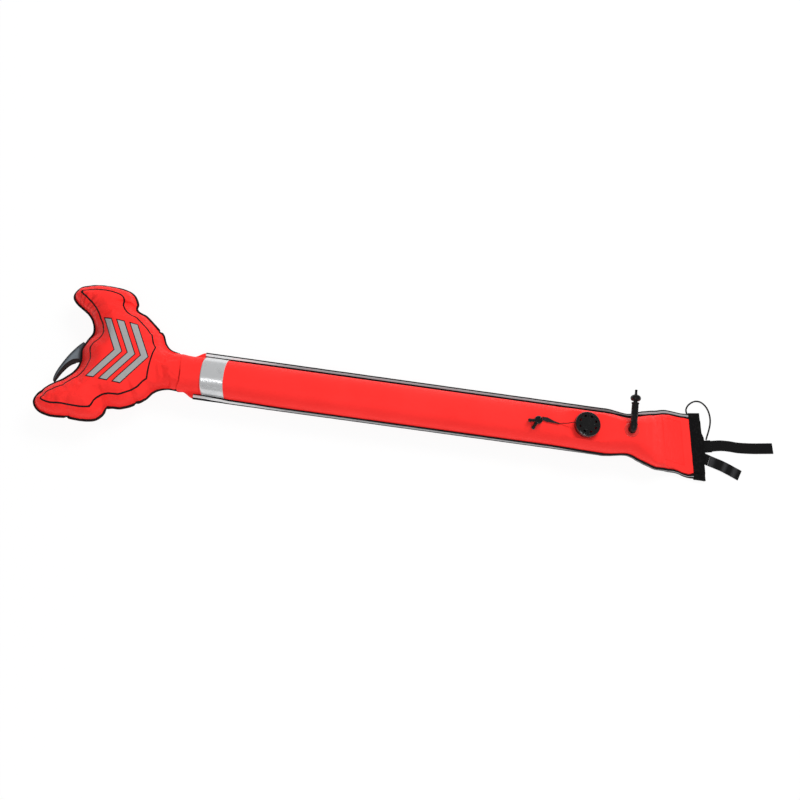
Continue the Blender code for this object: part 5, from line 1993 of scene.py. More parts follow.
@dataclass
class Head:
    """The hammer-shaped head: its padded bag, the black edge round its seam, and the fin."""

    finishes: Finishes
    bag: BagShape
    end_x: float = -1106.9 * MM
    crown: float = 42 * MM
    rounding: float = 60 * MM
    seam_width: float = 6 * MM
    neck_length: float = 80 * MM
    neck_taper: float = 28 * MM
    trim_wall: float = 0.6 * MM
    trim_width: float = 3.6 * MM
    trim_ends: Pair = (14 * MM, 2 * MM)
    inflate_frames: int = 18
    inflate_cap: float = 5.5 * MM
    floor_gap: float = 0.5 * MM
    strays: Pairs = ((1.5, 15 * MM), (0.7, 7 * MM))
    notch_depth: float = 3.4 * MM
    notch_width: float = 2.8 * MM
    gather: Pair = (0.17, 0.11)
    fan_width: float = 30 * MM
    notches_mm: Pairs = (
        (-62, 80), (-124, 121), (-261, -99), (-198, -141), (-128, -108), (-71, -83)
    )
    fan_mm: Pair = (-217, 84)
    outline_mm: Pairs = (
        (-28, 44), (-43, 55), (-54, 74), (-71, 87), (-98, 106), (-119, 114), (-123, 130), (-135, 146),
        (-155, 154), (-190, 155), (-222, 150), (-249, 138), (-258, 117), (-248, 101), (-218, 83),
        (-203, 66), (-197, 45), (-204, 26), (-209, 4), (-205, -20), (-210, -42), (-229, -64),
        (-254, -86), (-268, -106), (-271, -124), (-257, -140), (-232, -146), (-200, -143), (-166, -142),
        (-141, -136), (-128, -122), (-121, -106), (-96, -101), (-73, -88), (-54, -72), (-40, -52),
        (-18, -41),
    )
    fin_mm: Pairs = (
        (-208, 24), (-219, 9), (-230, -11), (-238, -31), (-244, -50), (-246, -66), (-243, -74),
        (-239, -65), (-234, -52), (-225, -36), (-216, -27), (-210, -25),
    )
    fin_root: Pair = (-9 * MM, 38 * MM)
    fin_wall: float = 3.2 * MM
    fin_border: Pair = (1.4 * MM, 9.6 * MM)
    seam: Outline = field(init=False)
    length: float = field(init=False)
    notches: list[float] = field(init=False)
    fan: float = field(init=False)

    def __post_init__(self) -> None:
        """Measure the seam, and find the places along it where its puckers and its fan of folds are."""
        self.seam = Outline(self.seam_line(3 * MM))
        self.length = line_length(self.seam.points)
        spots = [self.point(spot) for spot in (*self.notches_mm, self.fan_mm)]
        *self.notches, self.fan = self.seam.nearest(spots)[1]

    def point(self, local: Pair) -> Vector:
        """A point of the head's own outline in the buoy's frame.

        Args:
            local: its place along and across the head, in millimetres.

        Returns:
            The point.
        """
        x, y = local[0] * MM, local[1] * MM
        cos, sin = math.cos(HEAD_YAW), math.sin(HEAD_YAW)
        return Vector((HEAD_X + cos * x - sin * y, sin * x + cos * y))

    def seam_line(self, step: float) -> Line:
        """The head's outline from one side of the neck round to the other.

        Args:
            step: distance between its points.

        Returns:
            The outline.
        """
        neck = self.bag.bulge + self.trim_wall + GAP
        points = [Vector((self.end_x, neck)), *map(self.point, self.outline_mm), Vector((self.end_x, -neck))]
        return even_steps(curve_through(points, 24), step)

    def wave(self, place: float) -> float:
        """How far the seam strays up or down.

        Args:
            place: the place along it.

        Returns:
            The distance.
        """
        calm = ease(place / (40 * MM)) * ease((self.length - place) / (40 * MM))
        (large, long_wave), (small, short_wave) = self.strays
        return (large * ripple(place, long_wave) + small * ripple(place, short_wave, 2.0)) * calm * MM

    def notch(self, place: float) -> float:
        """How far a pucker draws the seam inwards."""
        near = (math.exp(-(((place - spot) / self.notch_width) ** 2)) for spot in self.notches)
        return self.notch_depth * sum(near)

    def depth(self, at: NetPoint, side: int) -> float:
        """Height of the head's face over the seam plane.

        Args:
            at: the point.
            side: 1 for the upper face, -1 for the lower.

        Returns:
            The height.
        """
        neck = ease((at.spot.x - self.end_x + self.neck_length) / self.neck_length)
        full = (self.crown if side > 0 else self.bag.crown) - 1.5 * MM
        full += (self.bag.crown - full) * neck
        rounding = self.rounding + (self.bag.bulge - self.rounding) * neck
        taper = 1 - ease((at.spot.x - self.end_x + self.neck_taper) / self.neck_taper)
        seam = (self.seam_width - self.trim_wall - GAP) * taper
        share = min(max((at.gap - seam) / (rounding - seam), 0.0), 1.0)
        dome = math.sqrt(1 - (1 - share) ** 2)
        gathers = ripple(at.place, 10 * MM, 5.0 * side) + 0.6 * ripple(at.place, 5.5 * MM, 9.0 * side)
        fan = math.exp(-(((at.place - self.fan) / self.fan_width) ** 2))
        fading = math.exp(-((at.gap / ((24 + 24 * fan) * MM)) ** 2))
        dome *= 1 - (self.gather[0] + self.gather[1] * fan) * gathers * fading * (1 - neck)
        for spot in self.notches:
            near = math.exp(-(((at.place - spot) / (4.5 * MM)) ** 2))
            dome *= 1 - 0.28 * near * math.exp(-((at.gap / (30 * MM)) ** 2))
        return self.bag.flange_z + (full - self.bag.flange_z) * dome

    def inflate(self, piece: Piece) -> None:
        """Blow the pillow up as cloth between its pinned seam and neck, and keep the result in its mesh.

        Args:
            piece: the pillow.
        """
        mesh = piece.data
        start = np.zeros(len(mesh.vertices) * 3)
        mesh.vertices.foreach_get("co", start)
        start = start.reshape(-1, 3)
        far = np.zeros(len(mesh.vertices))
        mesh.attributes["seam_distance"].data.foreach_get("value", far)
        held = (far < 4.5 * MM) | (start[:, 0] > self.end_x - 8 * MM)
        group = piece.vertex_groups.new(name="held")
        group.add([int(k) for k in np.flatnonzero(held)], 1.0, "REPLACE")
        cloth = piece.modifiers.new("air", "CLOTH")
        values = {
            "quality": 6, "mass": 0.25, "tension_stiffness": 30, "compression_stiffness": 30,
            "shear_stiffness": 20, "bending_stiffness": 0.4, "use_pressure": True,
            "uniform_pressure_force": 4.0, "vertex_group_mass": "held", "shrink_min": -0.045,
        }
        for key, value in values.items():
            setattr(cloth.settings, key, value)
        cloth.settings.effector_weights.gravity = 0.0
        cloth.collision_settings.use_collision = False
        scene = bpy.context.scene
        for span in (scene, cloth.point_cache):
            span.frame_start, span.frame_end = 1, self.inflate_frames
        for frame in range(1, self.inflate_frames + 1):
            scene.frame_set(frame)
        graph = bpy.context.evaluated_depsgraph_get()
        result = piece.evaluated_get(graph).data
        end = np.zeros(len(mesh.vertices) * 3)
        result.vertices.foreach_get("co", end)
        move = end.reshape(-1, 3) - start
        size = np.linalg.norm(move, axis=1, keepdims=True)
        move *= np.minimum(1.0, self.inflate_cap / np.maximum(size, 1e-9))
        move[:, 2] = np.maximum(move[:, 2], self.floor_gap - start[:, 2])
        piece.modifiers.clear()
        piece.vertex_groups.clear()
        scene.frame_set(1)
        mesh.vertices.foreach_set("co", (start + move).ravel())
        mesh.update()

    def pillow(self) -> Piece:
        """The head's padded bag.

        Returns:
            The piece.
        """
        outline = Outline(self.seam.inset(self.trim_wall + GAP))
        rings = (4.9 * MM, 9 * MM, 13.5 * MM)
        shape = Pillow("head_bag", outline, self.bag.seam_z, 4.6 * MM, rings, self.finishes.printed)
        start, end = outline.points[-1], outline.points[0]
        neck = [start.lerp(end, 0.5 - 0.5 * math.cos(math.pi * k / 22)) for k in range(1, 22)]
        piece = shape.build(self.neck_depth, self.wave, self.notch, neck)
        self.inflate(piece)
        finer(piece)
        return placed(piece, "head", "red_fabric", "head_upper_panel", "head_lower_panel")

    def neck_depth(self, at: NetPoint, side: int) -> float:
        """The face's height, which meets the collar's round section at the neck.

        Args:
            at: the point.
            side: 1 for the upper face, -1 for the lower.

        Returns:
            The height.
        """
        free = self.depth(at, side)
        near = ease((at.spot.x - self.end_x + 26 * MM) / (24 * MM))
        inside = self.bag.bulge - 1.0 * MM
        round_section = (self.bag.crown - 1.1 * MM) * math.sqrt(max(0.0, 1 - (at.spot.y / inside) ** 2))
        return free + (max(round_section, 0.1 * MM) - free) * near

    def trim(self) -> list[Piece]:
        """The black edge folded round the seam, with its stitches.

        Returns:
            The edge and its stitches.
        """
        whole = self.seam_line(2.5 * MM)
        line = [p for p in whole if p.x < self.end_x - self.trim_ends[0 if p.y > 0 else 1]]
        skipped = whole.index(line[0])
        start = line_length(whole[: skipped + 1])
        centre = sum(line, Vector((0, 0))) / len(line)
        low, high = self.bag.flange_z + 0.1 * MM, self.bag.flange_z + GAP + self.trim_wall
        walked, loops, rails = start, [], ([], [])
        for k, point in enumerate(line):
            left = leftwards(line, k)
            if k:
                walked += (point - line[k - 1]).length
            shift = (centre - point).normalized() * self.notch(walked)
            z = self.bag.seam_z + self.wave(walked)
            taper = 0.4 + 0.6 * ease(min(walked - start, self.length - walked) / (55 * MM))
            width, foot, top = self.trim_width * taper, low * taper, high * taper
            over = [(width, foot), (width, top), (-0.2 * MM, top)]
            fold = rounded([*over, (-0.2 * MM, -top), (width, -top), (width, -foot)], 0.7 * MM)
            loops.append([Vector((*(point + shift + left * inset), z + rise)) for inset, rise in fold])
            for rail, way_up in zip(rails, (1, -1)):
                rail.append(Vector((*(point + shift + left * (width - 0.9 * MM)), z + way_up * top)))
        piece = sectioned_piece("seam_edge", loops, self.finishes.outline)
        placed(piece, "head", "black_fabric", "head_edge_trim")
        stitch = RowOf(3.4 * MM, (2.5 * MM, 0.42 * MM, 0.34 * MM), self.finishes.thread, jitter=0.1)
        stitches = stitch.along("seam_edge_stitches", list(rails))
        return [piece, placed(stitches, "head", "black_fabric")]

    def mark_edge(self, mesh: bpy.types.Mesh, line: Line) -> None:
        """Keep each point's distance to the fin's black inner border, below 0 within it, as inner_edge.

        Args:
            mesh: the fin's mesh.
            line: its inner edge, from the tip.
        """
        gaps, places = Outline(line).nearest([vert.co for vert in mesh.vertices])
        narrow, wide = self.fin_border
        widths = narrow + (wide - narrow) * np.clip(places / line_length(line), 0, 1) ** 0.7
        attribute = mesh.attributes.new("inner_edge", "FLOAT", "POINT")
        attribute.data.foreach_set("value", (gaps - widths).astype("f"))

    def fin(self) -> list[Piece]:
        """The padded slate fin with a black edge on its inner side.

        Returns:
            The pad and its two edges.
        """
        leaf = even_steps(curve_through([self.point(p) for p in self.fin_mm], 16), 2.2 * MM)
        outline = Outline(self.seam_line(2.5 * MM)).inset(-GAP)
        low_y, high_y = self.fin_root
        root = [p for p in outline if low_y < p.y < high_y and p.x < HEAD_X - self.rounding]
        ring = even_steps([*leaf[1:-1], *reversed(root), leaf[1]], 2.2 * MM)[:-1]
        area = sum(a.x * b.y - b.x * a.y for a, b in zip(ring, [*ring[1:], ring[0]]))
        if area < 0:
            ring.reverse()
        outline, rings = Outline(ring, closed=True), (1.2 * MM, 2.8 * MM)
        shape = Pillow("fin_pad", outline, self.bag.seam_z, 3.0 * MM, rings, self.finishes.fin)
        half = self.fin_wall / 2

        def dome(at: NetPoint, side: int) -> float:
            """A low cushion that is thin at its seam.

            Args:
                at: the point.
                side: 1 for the upper face, -1 for the lower.

            Returns:
                The height.
            """
            share = min(at.gap / (7 * MM), 1.0)
            puckers = 1 - 0.14 * ripple(at.place, 6 * MM, side * 2.0) * math.exp(-((at.gap / (6 * MM)) ** 2))
            return 0.35 * MM + (half - 0.1 * MM) * math.sqrt(1 - (1 - share) ** 2) * puckers

        pad = shape.build(dome, lambda place: 0.0, lambda place: 0.0)
        tip = min(range(len(leaf)), key=lambda k: leaf[k].y)
        self.mark_edge(pad.data, leaf[tip:])
        finer(pad)
        placed(pad, "head", "fin_fabric", "fin")
        made = [pad]
        for name, part, radius in (("inner", leaf[tip:-1], 1.5 * MM), ("outer", leaf[1:tip], 0.75 * MM)):
            route = [Vector((p.x, p.y, self.bag.seam_z)) for p in part]
            edge = cord_piece(f"fin_{name}_edge", route, radius, self.finishes.outline)
            made.append(placed(edge, "head", "black_fabric"))
        return made

    def build(self) -> list[Piece]:
        """Make every piece of the head."""
        return [self.pillow(), *self.trim(), *self.fin()]


# The relief valve


@dataclass
class ReliefValve:
    """The relief valve on the crown, with its pull cord, sleeve and toggle."""

    finishes: Finishes
    bag: BagShape
    radius: float = 26.6 * MM
    port: float = 15.5 * MM
    seat: float = 12.0 * MM
    lip: float = 1.2 * MM
    lip_wall: float = 1.6 * MM
    neck: float = 6.0 * MM
    flange_low: float = 1.8 * MM
    flange_top: float = 4.3 * MM
    cover_low: float = 4.6 * MM
    cover_height: float = 10.7 * MM
    cover_wall: float = 1.6 * MM
    vent_circle: float = 17.6 * MM
    vent_radius: float = 2.6 * MM
    vent_count: int = 8
    hub: float = 3.4 * MM
    stem_bore: float = 1.5 * MM
    cord_radius: float = 0.8 * MM
    cord_drop: float = 2.0 * MM
    eye_offset: float = 10 * MM
    eye_radius: float = 1.1 * MM
    cord_mm: tuple[Triple, ...] = ((-303, -4.1, 6.0), (-312, -5.2, 3.4), (-320, -6.6, 1.4))
    sleeve_knots: tuple[float, ...] = (1.6, 3.2, 4.8, 6.4, 8.0, 9.6, 11.2, 12.8)
    sleeve_length: float = 36.4 * MM
    sleeve_widths: Pair = (2.2 * MM, 12 * MM)
    sleeve_drift: float = 5.2 * MM
    sleeve_wall: float = 1.2 * MM
    sleeve_lift: float = 0.5 * MM
    toggle_radius: float = 8.5 * MM
    toggle_height: float = 9 * MM
    toggle_drift: float = -0.4 * MM
    travel: float = 2 * MM

    @property
    def frame(self) -> Matrix:
        """The valve's axis on the level crown."""
        z = self.bag.seam_z + self.bag.crown - self.bag.valve_drop
        return Matrix.Translation((*self.bag.valve, z))

    @property
    def cord_z(self) -> float:
        """The height at which the cord leaves the cover."""
        ceiling = self.cover_low + self.cover_height - self.cover_wall
        return self.frame.translation.z + ceiling - self.cord_drop - self.cord_radius

    def body(self) -> Piece:
        """The flange, the seat with its raised lip, and the neck with its spider.

        Returns:
            The piece.
        """
        lip_radius, lip_top = self.seat + self.lip_wall, self.flange_top + self.lip
        profile = [
            (self.seat, -self.neck), (self.port, -self.neck), (self.port, self.flange_low),
            (self.radius, self.flange_low), (self.radius, self.flange_top), (lip_radius, self.flange_top),
            (lip_radius, lip_top), (self.seat, lip_top),
        ]
        body = turned_piece("valve_seat_body", profile, self.frame, self.finishes.seat, 72)
        hub_profile = [
            (self.stem_bore, -self.neck), (self.hub, -self.neck), (self.hub, 2 * MM - self.neck),
            (self.stem_bore, 2 * MM - self.neck),
        ]
        parts = [turned_piece("hub", hub_profile, self.frame, self.finishes.seat, 32)]
        for k in range(3):
            turn = Matrix.Rotation(math.tau * k / 3, 4, "Z")
            low, high = 0.3 * MM - self.neck, 1.7 * MM - self.neck
            spoke = self.block((2.6 * MM, -1.1 * MM, low), (12.8 * MM, 1.1 * MM, high))
            bmesh.ops.transform(spoke, matrix=self.frame @ turn, verts=spoke.verts)
            parts.append(close_up("spoke", spoke, self.finishes.seat))
        combine(body, parts, "UNION")
        return placed(body, "buoy", "black_plastic", "valve_body")

    @staticmethod
    def block(low: Triple, high: Triple) -> bmesh.types.BMesh:
        """A box between two corners.

        Args:
            low: its lowest corner.
            high: its highest corner.

        Returns:
            The box.
        """
        bm = bmesh.new()
        bmesh.ops.create_cube(bm, size=1.0)
        for vert in bm.verts:
            vert.co = [a + (b - a) * (c + 0.5) for a, b, c in zip(low, high, vert.co)]
        return bm

    def cover(self) -> list[Piece]:
        """The glossy cap: a raised rim, a sunk ring with vents between ribs, and a domed middle.

        Returns:
            The cap, its knurls and its ribs.
        """
        low, top = self.cover_low, self.cover_low + self.cover_height
        ceiling, rim = top - self.cover_wall, self.radius - self.cover_wall
        profile = [
            (0.0, ceiling), (rim, ceiling), (rim, low), (self.radius, low), (self.radius, top - 2.2 * MM),
            (self.radius - 0.8 * MM, top - 0.8 * MM), (self.radius - 2.4 * MM, top - 0.1 * MM),
            (self.radius - 3.6 * MM, top - 0.1 * MM), (self.radius - 5.2 * MM, top - 0.8 * MM),
            (13.6 * MM, top - 0.8 * MM), (12.0 * MM, top - 0.1 * MM), (10.2 * MM, top),
            (9.0 * MM, top - 0.5 * MM), (5.0 * MM, top - 0.5 * MM), (3.2 * MM, top), (0.0, top),
        ]
        cover = turned_piece("valve_cap", profile, self.frame, self.finishes.plastic, 96, 0.35 * MM)
        cutters = []
        for k in range(self.vent_count):
            turn = math.tau * (k + 0.5) / self.vent_count
            middle = Matrix.Rotation(turn, 4, "Z") @ Matrix.Translation((self.vent_circle, 0, 0))
            oval = self.frame @ middle @ Matrix.Diagonal((0.78, 1.18, 1.0, 1.0))
            wide, bottom, lid = self.vent_radius, ceiling - 1.5 * MM, top + 2 * MM
            hole = [(0.0, bottom), (wide, bottom), (wide, lid), (0.0, lid)]
            cutters.append(turned_piece("vent", hole, oval, self.finishes.plastic, 28, 0.01 * MM))
        side = Matrix.Translation((self.bag.valve[0] - self.radius, self.bag.valve[1], self.cord_z))
        side = side @ Matrix.Rotation(math.pi / 2, 4, "Y")
        reach = 3 * MM
        hole = [(0.0, -reach), (1.3 * MM, -reach), (1.3 * MM, reach), (0.0, reach)]
        cutters.append(turned_piece("cord_hole", hole, side, self.finishes.plastic, 20, 0.01 * MM))
        combine(cover, cutters, "DIFFERENCE")
        placed(cover, "buoy", "black_plastic", "valve_cover")
        size = (7.4 * MM, 1.9 * MM, 1.5 * MM)
        knurl = RowOf(math.tau * self.radius / 40, size, self.finishes.plastic, (0.0, 0.0, 1.0))
        ring = around(self.radius - 0.05 * MM, low + 4.2 * MM, 120, self.frame)
        knurls = knurl.along("cap_knurls", [[*ring, ring[0]]])
        spokes = []
        for k in range(self.vent_count):
            turn = math.tau * k / self.vent_count
            way = Vector((math.cos(turn), math.sin(turn), 0))
            height = Vector((0, 0, top - 0.65 * MM))
            spokes.append([self.frame @ (way * r * MM + height) for r in (12.6, 17.4, 22.4)])
        rib = RowOf(4.9 * MM, (5.8 * MM, 1.8 * MM, 1.7 * MM), self.finishes.plastic)
        ribs = rib.along("cap_ribs", spokes)
        return [cover, *(placed(piece, "buoy", "black_plastic") for piece in (knurls, ribs))]

    def cord_route(self) -> Line:
        """The cord's line from the disc's post over the crown to its sleeve.

        Returns:
            The line.
        """
        x, y = self.bag.valve
        start_x, exit_x = x - self.eye_offset - self.eye_radius - GAP, x - self.radius
        points = [Vector((start_x, y, self.cord_z)), Vector((exit_x, y, self.cord_z))]
        points.append(Vector((exit_x, y, self.cord_z)) + Vector((-6, -0.4, -1.2)) * MM)
        for along, across, height in self.cord_mm:
            spot_x, spot_y = along * MM, across * MM
            points.append(Vector((spot_x, spot_y, self.bag.skin_height(spot_x, spot_y) + height * MM)))
        return even_steps(curve_through(points, 10), 1.6 * MM)

    def pull(self) -> list[Piece]:
        """The cord with the sleeve and the toggle on it.

        Returns:
            The three pieces.
        """
        route = self.cord_route()
        sleeve, toggle = self.sleeve(route[-1]), self.toggle(route[-1])
        route += [self.sleeve_spot(route[-1], reach * MM, 1.0 * MM) for reach in self.sleeve_knots]
        cord = cord_piece("release_cord", route, self.cord_radius, self.finishes.braid)
        placed(cord, "buoy", "cord", "pull_cord")
        line_length(route)
        return [cord, sleeve, toggle]

    def sleeve_spot(self, cord_end: Vector, reach: float, up: float = 0.0) -> Vector:
        """A point over the sleeve's underside, this far from the cord's end.

        Args:
            cord_end: where the cord's sleeve starts.
            reach: the distance.
            up: height over it.

        Returns:
            The point.
        """
        x = cord_end.x - reach
        y = cord_end.y + self.sleeve_drift * ease((reach - GAP) / self.sleeve_length)
        return Vector((x, y, self.bag.skin_height(x, y) + self.sleeve_lift + up))

    def sleeve(self, cord_end: Vector) -> Piece:
        """The flat sleeve that widens towards the toggle.

        Args:
            cord_end: where it starts.

        Returns:
            The sleeve.
        """
        loops = []
        for reach in stations(GAP, GAP + self.sleeve_length, 1.5 * MM):
            share = ease((reach - GAP) / self.sleeve_length)
            half = (self.sleeve_widths[0] + (self.sleeve_widths[1] - self.sleeve_widths[0]) * share) / 2
            half *= 1 - 0.3 * ease((share - 0.8) / 0.2)
            wall = self.sleeve_wall * (1.15 + 0.25 * ripple(reach, 6 * MM, 3.0))
            wall += 1.1 * MM * (1 - ease((reach - 8 * MM) / (9 * MM)))
            section = rounded([(-half, 0), (half, 0), (half, wall), (-half, wall)], 0.5 * MM)
            spot = self.sleeve_spot(cord_end, reach)
            loops.append([spot + Vector((0, a, b)) for a, b in section])
        piece = sectioned_piece("cord_sleeve", loops, self.finishes.sleeve)
        return placed(piece, "buoy", "webbing", "pull_sleeve")

    def toggle(self, cord_end: Vector) -> Piece:
        """The knob with a sunk ring on its top, a peg and a side lobe.

        Args:
            cord_end: where the cord's sleeve starts.

        Returns:
            The toggle.
        """
        x = cord_end.x - GAP - self.sleeve_length - GAP - self.toggle_radius
        y = cord_end.y + self.toggle_drift
        base = self.bag.skin_height(x, self.bag.drift(x)) + GAP
        r, h = self.toggle_radius, self.toggle_height
        profile = [
            (0.0, 0.0), (r - 1 * MM, 0.0), (r, 1.2 * MM), (r, 2.6 * MM), (r - 0.9 * MM, 3.2 * MM),
            (r - 0.9 * MM, 4.0 * MM), (r, 4.6 * MM), (r, h - 1.6 * MM), (r - 1.5 * MM, h), (r - 2.9 * MM, h),
            (r - 3.5 * MM, h - 1.3 * MM), (2.0 * MM, h - 1.3 * MM), (1.4 * MM, h - 0.4 * MM),
            (0.0, h - 0.3 * MM),
        ]
        frame = Matrix.Translation((x, y, base))
        piece = turned_piece("toggle_knob", profile, frame, self.finishes.plastic, 48, 0.3 * MM)
        others = []
        for name, reach, radius in (("peg", (-21.5, -3.6, -0.4), 3.9), ("lobe", (-10.5, -19.5, -4.8), 4.4)):
            way = Vector(reach) * MM
            turn = way.to_track_quat("Z", "Y").to_matrix().to_4x4()
            size, end = radius * MM, way.length
            rod = [
                (0.0, 1 * MM), (size * 0.8, 1 * MM), (size * 0.8, end - 6 * MM), (size, end - 5 * MM),
                (size, end - 1.6 * MM), (size - 1.2 * MM, end), (0.0, end),
            ]
            middle = Matrix.Translation((x, y, base + h / 2)) @ turn
            others.append(turned_piece(name, rod, middle, self.finishes.plastic, 32, 0.5 * MM))
        combine(piece, others, "UNION")
        return placed(piece, "buoy", "black_plastic", "pull_toggle")

    def build(self) -> list[Piece]:
        """Make every piece of the valve."""
        return [self.body(), *self.cover(), *self.pull()]


# The oral inflator


@dataclass
class Inflator:
    """The oral inflator: welded base, elbow, barrel, grip and sprung mouthpiece."""

    finishes: Finishes
    bag: BagShape
    tilt: float = math.radians(5)
    flange_wall: float = 1.2 * MM
    port: float = 5.0 * MM
    radius: float = 7.1 * MM
    bore: float = 4.9 * MM
    start: float = 10 * MM
    length: float = 34 * MM
    step: float = 0.8 * MM
    grip_radius: float = 7.3 * MM
    grip_length: float = 25 * MM
    grip_overlap: float = 14 * MM
    grip_grooves: int = 6
    neck: float = 4.4 * MM
    play: float = 0.25 * MM
    travel: float = 4 * MM
    cap_radius: float = 10.9 * MM
    cap_length: float = 13 * MM
    nib: Triple = (2.7 * MM, 1.3 * MM, 10.5 * MM)
    rise: float = 2.6 * MM

    @property
    def push(self) -> Triple:
        """The direction in which the mouthpiece is pushed."""
        return 0.0, -math.cos(self.tilt), -math.sin(self.tilt)

    @property
    def seat_z(self) -> float:
        """Height of the crown under the base."""
        return self.bag.seam_z + self.bag.crown - self.bag.inflator_drop

    @property
    def frame(self) -> Matrix:
        """The barrel's axis, from over the port.

        Returns:
            The frame, whose Z runs along the barrel.
        """
        z = self.seat_z + self.flange_wall + 2 * GAP + self.radius + self.rise
        turn = Matrix.Rotation(-math.pi / 2 + self.tilt, 4, "X")
        return Matrix.Translation((*self.bag.inflator, z)) @ turn

    def base(self) -> Piece:
        """The welded base with its rings, seen through the red plastic.

        Returns:
            The base.
        """
        low, top, r = GAP, GAP + self.flange_wall, self.bag.inflator_radius
        profile = [(self.port - 1 * MM, low), (r, low), (r, low + 0.5 * MM)]
        for ring in (14.2, 11.8):
            profile += [
                (ring * MM, top - 0.35 * MM), (ring * MM - 0.5 * MM, top + 0.1 * MM),
                (ring * MM - 1.1 * MM, top + 0.1 * MM), (ring * MM - 1.6 * MM, top - 0.35 * MM),
            ]
        profile += [(9.0 * MM, top), (self.port - 1 * MM, top)]
        frame = Matrix.Translation((*self.bag.inflator, self.seat_z))
        piece = turned_piece("inflator_base", profile, frame, self.finishes.clear_red, 72, 0.2 * MM)
        return placed(piece, "buoy", "red_plastic", "inflator_flange")

    def elbow(self) -> Piece:
        """The elbow from the port up into the barrel.

        Returns:
            The elbow.
        """
        radius, bore, steps, sides = self.radius + 0.7 * MM, self.bore - 0.5 * MM, 16, 36
        height = self.frame.translation.z - self.seat_z
        bend = radius + 0.4 * MM
        foot = 2 * GAP + self.flange_wall
        centre = Vector((0, bend, height - bend))
        turn = self.frame.to_3x3()
        rings = [(Vector((0, 0, z)), Vector((0, 1, 0)), 1.06) for z in (foot, foot + 0.9 * MM)]
        for angle in ((math.pi / 2 - self.tilt) * k / steps for k in range(steps + 1)):
            spot = centre + Vector((0, -math.cos(angle), math.sin(angle))) * bend
            rings.append((spot, Vector((0, math.cos(angle), -math.sin(angle))), 1.0))
        end = Vector((0, 0, height))
        for back, size in ((2.6 * MM, 1.0), (2.2 * MM, 1.08), (GAP, 1.08)):
            spot = end + turn @ Vector((0, 0, self.start - back))
            rings.append((spot, turn @ Vector((0, 1, 0)), size))
        base = Vector((*self.bag.inflator, self.seat_z))
        rows = []
        for outer in (True, False):
            for spot, across, size in rings if outer else reversed(rings):
                reach = radius * size if outer else bore
                turns = [math.tau * k / sides for k in range(sides)]
                rows.append([
                    base + spot + (Vector((math.cos(t), 0, 0)) + across * math.sin(t)) * reach for t in turns
                ])
        rows.append(rows[0])
        bm = skin_bmesh(rows, wrap=True)
        bmesh.ops.remove_doubles(bm, verts=bm.verts, dist=0.002 * MM)
        piece = close_up("inflator_bend", bm, self.finishes.dull_plastic)
        bevel = piece.modifiers.new("edges", "BEVEL")
        bevel.width, bevel.segments, bevel.angle_limit = 0.3 * MM, 2, math.radians(40)
        return placed(piece, "buoy", "black_plastic", "inflator_elbow")

    def barrel(self) -> list[Piece]:
        """The barrel with two rings, and the ribbed rubber grip on it.

        Returns:
            The barrel and the grip.
        """
        end = self.start + self.length
        grip_start = end - self.grip_overlap
        grip_end = grip_start + self.grip_length
        thin, r = self.radius - self.step, self.radius
        seat_low, seat_high = self.start + 8 * MM, self.start + 10 * MM
        profile = [(self.bore, self.start), (r, self.start)]
        for ring in (self.start + 3 * MM, grip_start - 6 * MM):
            raised = r + 0.45 * MM
            profile += [(r, ring), (raised, ring + 0.4 * MM), (raised, ring + 1.6 * MM), (r, ring + 2 * MM)]
        profile += [
            (r, grip_start - GAP), (thin, grip_start - GAP), (thin, end), (self.bore, end),
            (self.bore, seat_high), (3.0 * MM, seat_high), (3.0 * MM, seat_low), (self.bore, seat_low),
        ]
        barrel = turned_piece("inflator_tube", profile, self.frame, self.finishes.dull_plastic, 48, 0.2 * MM)
        placed(barrel, "buoy", "black_plastic", "inflator_barrel")
        g, slide = self.grip_radius, self.neck + self.play
        profile = [(thin + GAP, grip_start), (g - 0.3 * MM, grip_start)]
        for k in range(self.grip_grooves):
            at, sunk = grip_start + 2.4 * MM + k * 3.0 * MM, g - 0.55 * MM
            profile += [(g, at), (g, at + 1.1 * MM), (sunk, at + 1.6 * MM), (sunk, at + 2.3 * MM)]
        profile += [
            (g, grip_end - 2.5 * MM), (g + 0.7 * MM, grip_end - 2.0 * MM), (g + 0.7 * MM, grip_end),
            (slide, grip_end), (slide, grip_end - 2.5 * MM), (thin + GAP, grip_end - 3.5 * MM),
        ]
        grip = turned_piece("inflator_sleeve", profile, self.frame, self.finishes.rubber, 48, 0.25 * MM)
        return [barrel, placed(grip, "buoy", "rubber", "inflator_grip")]

    def mouthpiece(self) -> Piece:
        """The mushroom-shaped mouthpiece with its nib.

        Returns:
            The mouthpiece.
        """
        end = self.start + self.length
        low = end - self.grip_overlap + self.grip_length + self.travel + GAP
        top, r = low + self.cap_length, self.cap_radius
        nib, bore, reach = self.nib
        profile = [
            (bore, end - 8 * MM), (self.neck, end - 8 * MM), (self.neck, low), (r - 3 * MM, low),
            (r - 1.4 * MM, low + 1.4 * MM), (r - 0.4 * MM, low + 3.2 * MM), (r, low + 5.4 * MM),
            (r - 0.3 * MM, low + 7.4 * MM), (r - 1.6 * MM, top - 3.2 * MM), (r - 3.4 * MM, top - 1.8 * MM),
            (r - 5.2 * MM, top - 0.9 * MM), (nib + 1.0 * MM, top - 0.2 * MM),
            (nib + 0.1 * MM, top + 1.6 * MM),
            (nib, top + 3 * MM), (nib, top + 5.5 * MM), (nib - 0.4 * MM, top + 5.9 * MM),
            (nib - 0.4 * MM, top + 6.8 * MM), (nib, top + 7.2 * MM), (nib, top + reach), (bore, top + reach),
        ]
        piece = turned_piece("mouthpiece_cap", profile, self.frame, self.finishes.dull_plastic, 64, 0.3 * MM)
        return placed(piece, "mouthpiece", "black_plastic", "inflator_mouthpiece")

